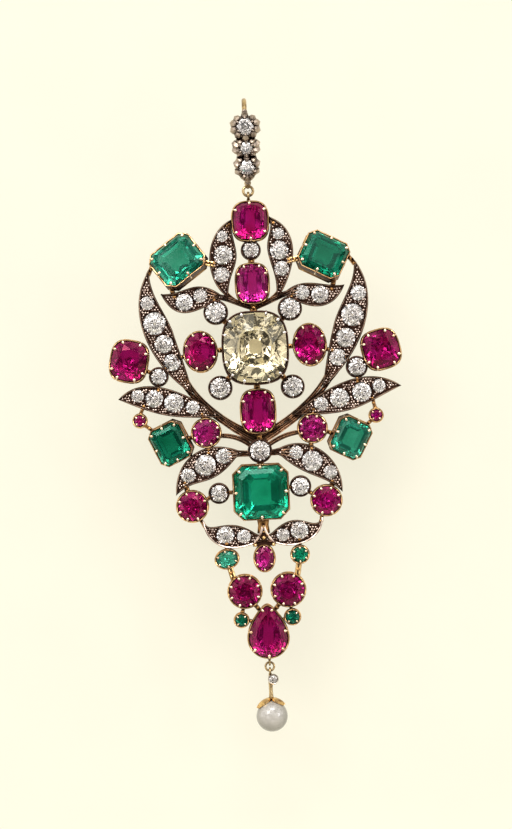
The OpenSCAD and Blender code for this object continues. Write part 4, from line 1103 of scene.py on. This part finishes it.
# Height, radius and wire of each ring and loop
links = {
    "frame loop": (-13.03, 0.44, 0.19), "foot loop": (-78.3, 0.42, 0.15), "bail ring": (-12.35, 0.68, 0.19),
    "drop loop": (-79.62, 0.42, 0.15), "drop ring": (-78.96, 0.6, 0.15),
}


def addLink(patch, name, axis):
    z, radius, wire = links[name]
    patch.hoop((0, 0, z), radius, wire, axis)


# Necks that join the loops to what carries them: both ends, the radius there, and stretch in depth
necks = {
    "frame loop": ([(0, 0.05, -13.47), (0, 0.15, -13.98)], [0.24, 0.3], 1.2),
    "foot loop": ([(0, 0, -78.05), (0, 0, -77.55)], [0.2, 0.26], 1.3),
    "bail ring": ([(0, 0, -11.2), (0, 0, -11.75)], [0.5, 0.3], 0.85),
}
sideways, inDepth = (1, 0, 0), (0, 1, 0)


def addNeck(patch, name, axis):
    addLink(patch, name, axis)
    path, radii, tall = necks[name]
    patch.tube(path, radii, inDepth, tall)


addNeck(loopPatch, "frame loop", sideways)
addNeck(loopPatch, "foot loop", sideways)
loopPatch.build("frame_loops", "wire gold", "frame")
print("stage: stems, bars, bracket and loops")


# Bail

bailShape = {
    "loop": (3.34, -3), "tail": -11.6,  # radius and height of the loop's bend, and where its strands meet
    "wire": 0.34, "steps": (48, 12),  # radius of the gold wire, and steps round its bend and down a strand
    "sides": 16,  # sides of the wire and of the spine
    "rib": [0.2, 0.34, 0.47, 0.55, 0.57, 0.46],  # radii of a rib, from the stone outwards and down
    "arch": [(0, 1.3), (0.3, 1.34), (0.62, 1.2), (0.9, 1.0), (1.0, 0.65), (1.0, 0.3)],  # reach and height
    "ribs": 10,  # ribs round each lobe
    "pinch": 0.35,  # how much the lowest lobe's ribs draw in at its foot
    "body": 0.88,  # the lobe's dark body as a share of its outline
    "shell": [(0.15, 0.6), (0.3, 0.84), (0.8, 1.0), (1.05, 0.97), (1.22, 0.85)],  # its heights and growth
    "well": [(1.3, 0.1), (0.24, 0.02)],  # its well's height, and radius past the diamond's
    "spine": [(-2.6, 0.2), (-3.6, 0.28), (-5, 0.28), (-6.2, 0.28), (-7.5, 0.28), (-9, 0.28), (-10.2, 0.2)],
    "pavilion": 0.38,  # depth of its diamonds, as a share of their width
    "tube": (0.08, 1.0),  # wall and length of the tubes round them
    "grain": (0.26, 0.19, 0.16), "near": 0.02,  # radii of the grains that hold them, and their overlap
    "grains": (6, 1.5), "least rib": 0.35,  # number and height of those grains, and least reach of a rib
    # Grains at the foot: place and radius
    "foot": [(-0.66, -1.1, -10.4, 0.34), (0.66, -1.1, -10.4, 0.34), (0, -0.75, -11.2, 0.36)],
    "crest": ((0, -3.25, -1.55), 0.3, (0.42, 0.3, 0.55)),  # the knob over the top lobe: place, tilt, radii
}
(loopR, loopZ), tailZ = bailShape["loop"], bailShape["tail"]
strand = math.asin(loopR / (loopZ - tailZ))


def onBail(z):
    slanted = z < loopZ - loopR * math.sin(strand)
    y = (z - tailZ) * math.tan(strand) if slanted else math.sqrt(loopR ** 2 - (z - loopZ) ** 2)
    return Matrix.Translation((0, -y, z)) @ Matrix.Rotation(math.pi / 2 + (strand if slanted else 0), 4, "X")


def lobeEdge(lobe, share, steps=60, power=2 / 2.3):
    _, wide, up, down, taper, _ = lobe
    ring = []
    for i in range(steps):
        a = 2 * math.pi * i / steps
        x = wide / 2 * curved(math.cos(a + math.pi / 2), power)
        y = (up if math.cos(a) > 0 else down) * curved(math.sin(a + math.pi / 2), power)
        narrowing = 0 if math.cos(a) > 0 else taper * math.cos(a) ** 2
        ring.append(Vector((x * (1 - narrowing) * share, y * share)))
    return ring


wirePatch, lobePatch, bailTubes, ribPatch, bailStones, footPatch = (Patch() for _ in range(6))
arc = []
bends, straights = bailShape["steps"]
for k in range(bends + 1):
    a = -strand + (math.pi + 2 * strand) * k / bends
    arc.append(Vector((0, math.cos(a) * loopR, loopZ + math.sin(a) * loopR)))
foot = Vector((0, 0, tailZ))
ends = [[foot.lerp(top, k / straights) for k in range(straights)] for top in (arc[0], arc[-1])]
wirePatch.tube(ends[0] + arc + ends[1][::-1], bailShape["wire"], sideways, 1.0, bailShape["sides"])
bailGrains = []
lobePatch.tube([onBail(z) @ Vector((0, 0, -bailShape["near"])) for z, _ in bailShape["spine"]],
    [radius for _, radius in bailShape["spine"]], sideways, 4, bailShape["sides"])
for lobe in lobes:
    z, _, _, down, taper, stone = lobe
    place = onBail(z)
    rings = [[place @ Vector((p.x, p.y, h)) for p in lobeEdge(lobe, bailShape["body"] * s)]
        for h, s in bailShape["shell"]]
    rings += [[place @ p for p in circle(stone / 2 + past, 60, h, math.pi / 2)]
        for h, past in bailShape["well"]]
    lobePatch.loft(rings)
    seat = place @ Matrix.Translation((0, 0, bailShape["well"][0][0]))
    addTube(bailTubes, seat, stone, *bailShape["tube"])
    looseDiamond(bailStones, seat, stone, bailShape["pavilion"])
    near = stone / 2 - bailShape["near"]
    for p in lobeEdge(lobe, 1, bailShape["ribs"]):
        if taper and p.y < 0:
            p.x *= 1 - bailShape["pinch"] * (p.y / down) ** 2
        out = p.normalized()
        far = max(p.length - bailShape["rib"][-2], near + bailShape["least rib"])
        side = place.to_3x3() @ Vector((-out.y, out.x, 0))
        path = [place @ Vector((*(out * (near + (far - near) * t)), h)) for t, h in bailShape["arch"]]
        ribPatch.tube(path, bailShape["rib"], side, 1.0, 6)
    count, high = bailShape["grains"]
    for k in range(count):
        a = 2 * math.pi * (k + 0.5) / count
        at = Matrix.Translation((math.cos(a) * near, math.sin(a) * near, high)) @ Matrix.Rotation(a, 4, "Z")
        bailGrains.append((place @ at, bailShape["grain"]))
for x, y, z, r in bailShape["foot"]:
    bailGrains.append((Matrix.Translation((x, y, z)), (r, r, r)))
at, tilt, radii = bailShape["crest"]
bailGrains.append((Matrix.Translation(at) @ Matrix.Rotation(tilt, 4, "X"), radii))
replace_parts(wirePatch.build("bail_wire", "wire gold", "bail"), "bail")
lobePatch.build("bail_lobes", "bail silver", "bail")
bailTubes.build("bail_collets", "claw silver", "bail")
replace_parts(bailStones.build("bail_stones", "diamond", "bail diamond", 1, False), "bail_diamonds")
ribPatch.build("bail_ribs", "bail silver", "bail", 24)
grow("bail_grains", balls, bailGrains, "bail silver", "bail")
addNeck(footPatch, "bail ring", inDepth)
footPatch.build("bail_foot", "wire gold", "bail")
print("stage: bail")


# Pearl drop

drop = {
    # The stem: height and radius
    "stem": [(-79.95, 0.22), (-80.4, 0.26), (-81.2, 0.3), (-82.4, 0.26), (-83.3, 0.32), (-83.45, 0.5)],
    "diamond": ((0.4, -0.5, -80.75), 1.1), "collet": (0.19, 0.95),  # place, width, and its tube
    "pearlZ": -85.9, "rings": 48, "columns": 64,  # the pearl's height, and its faces
    "cap": (2.26, 2.66),  # inner and outer radius of the cap's leaves
    "leaves": [(203, 60), (337, 52), (90, 46)],  # direction and reach of each, in degrees
    "start": 4, "steps": 14,  # where they start, in degrees, and the steps along them
    "half": 0.82,  # half the width of a leaf of the cap
    "swell": (0.35, 0.75, 1.02, 0.8),  # how it widens: at the start, by how much, how far along and how fast
    "thins": 0.55, "point": (0.93, 0.35), "least": 0.05,  # how it narrows, its point and its least half
    # Points round a leaf's section: place across it, and whether on its front, and how far below that
    "section": [(-1, 0, 0), (-1, 1, 0.1), (-0.5, 1, 0.05), (0, 1, -0.02), (0.5, 1, 0.05), (1, 1, 0.1),
        (1, 0, 0)],
}
middle = Vector((0, 0, drop["pearlZ"]))
mountPatch, capPatch, colletPatch, pearlPatch, dropStone, ringPatch = (Patch() for _ in range(6))
addLink(mountPatch, "drop loop", sideways)
heights, radii = [(0, 0, z) for z, _ in drop["stem"]], [radius for _, radius in drop["stem"]]
mountPatch.tube(heights, radii, inDepth, 1.0, 12)
at, wide = drop["diamond"]
seat = Matrix.Translation(at) @ Matrix.Rotation(math.pi / 2, 4, "X")
addTube(colletPatch, seat, wide, *drop["collet"])
looseDiamond(dropStone, seat, wide)
for heading, reach in drop["leaves"]:
    turn = Matrix.Rotation(math.radians(heading), 4, "Z")
    rings = []
    for k in range(drop["steps"] + 1):
        t = k / drop["steps"]
        polar = math.radians(drop["start"] + (reach - drop["start"]) * t)
        atStart, more, far, power = drop["swell"]
        half = drop["half"] * (atStart + more * math.sin(math.pi * min(t * far, 1)) ** power)
        half *= (1 - drop["thins"] * t ** 3) * (1 if t < drop["point"][0] else drop["point"][1])
        half = max(half, drop["least"])
        ring = []
        for side, front, below in drop["section"]:
            radius = drop["cap"][front] - below
            p = Vector((math.sin(polar) * radius, half * side, math.cos(polar) * radius))
            ring.append(middle + turn @ (p * (radius / p.length)))
        rings.append(ring)
    capPatch.loft(rings)
rings = []
for k in range(1, drop["rings"]):
    out, up = (pearlRadius * turn(math.pi * k / drop["rings"]) for turn in (math.sin, math.cos))
    rings.append([p + middle for p in circle(out, drop["columns"], up)])
pearlPatch.loft(rings)
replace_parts(mountPatch.build("drop_stem", "wire gold", "drop"), "drop_mount")
capPatch.build("pearl_cap", "bright gold", "drop")
colletPatch.build("drop_collet", "drop silver", "drop")
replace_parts(dropStone.build("drop_stone", "diamond", "diamond", 1, False), "drop_diamond")
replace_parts(pearlPatch.build("pearl_ball", "nacre", "pearl", 60), "pearl")
addLink(ringPatch, "drop ring", inDepth)
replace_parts(ringPatch.build("drop_hoop", "wire gold", "drop"), "drop_ring")
print("stage: pearl drop")


scene = bpy.context.scene
scene.view_settings.view_transform = "Standard"
scene.view_settings.exposure = 0.0
scene.cycles.sample_clamp_indirect = 4
size = {"cad": [list(v) for v in cadBox], "visual": [list(v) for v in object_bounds()]}
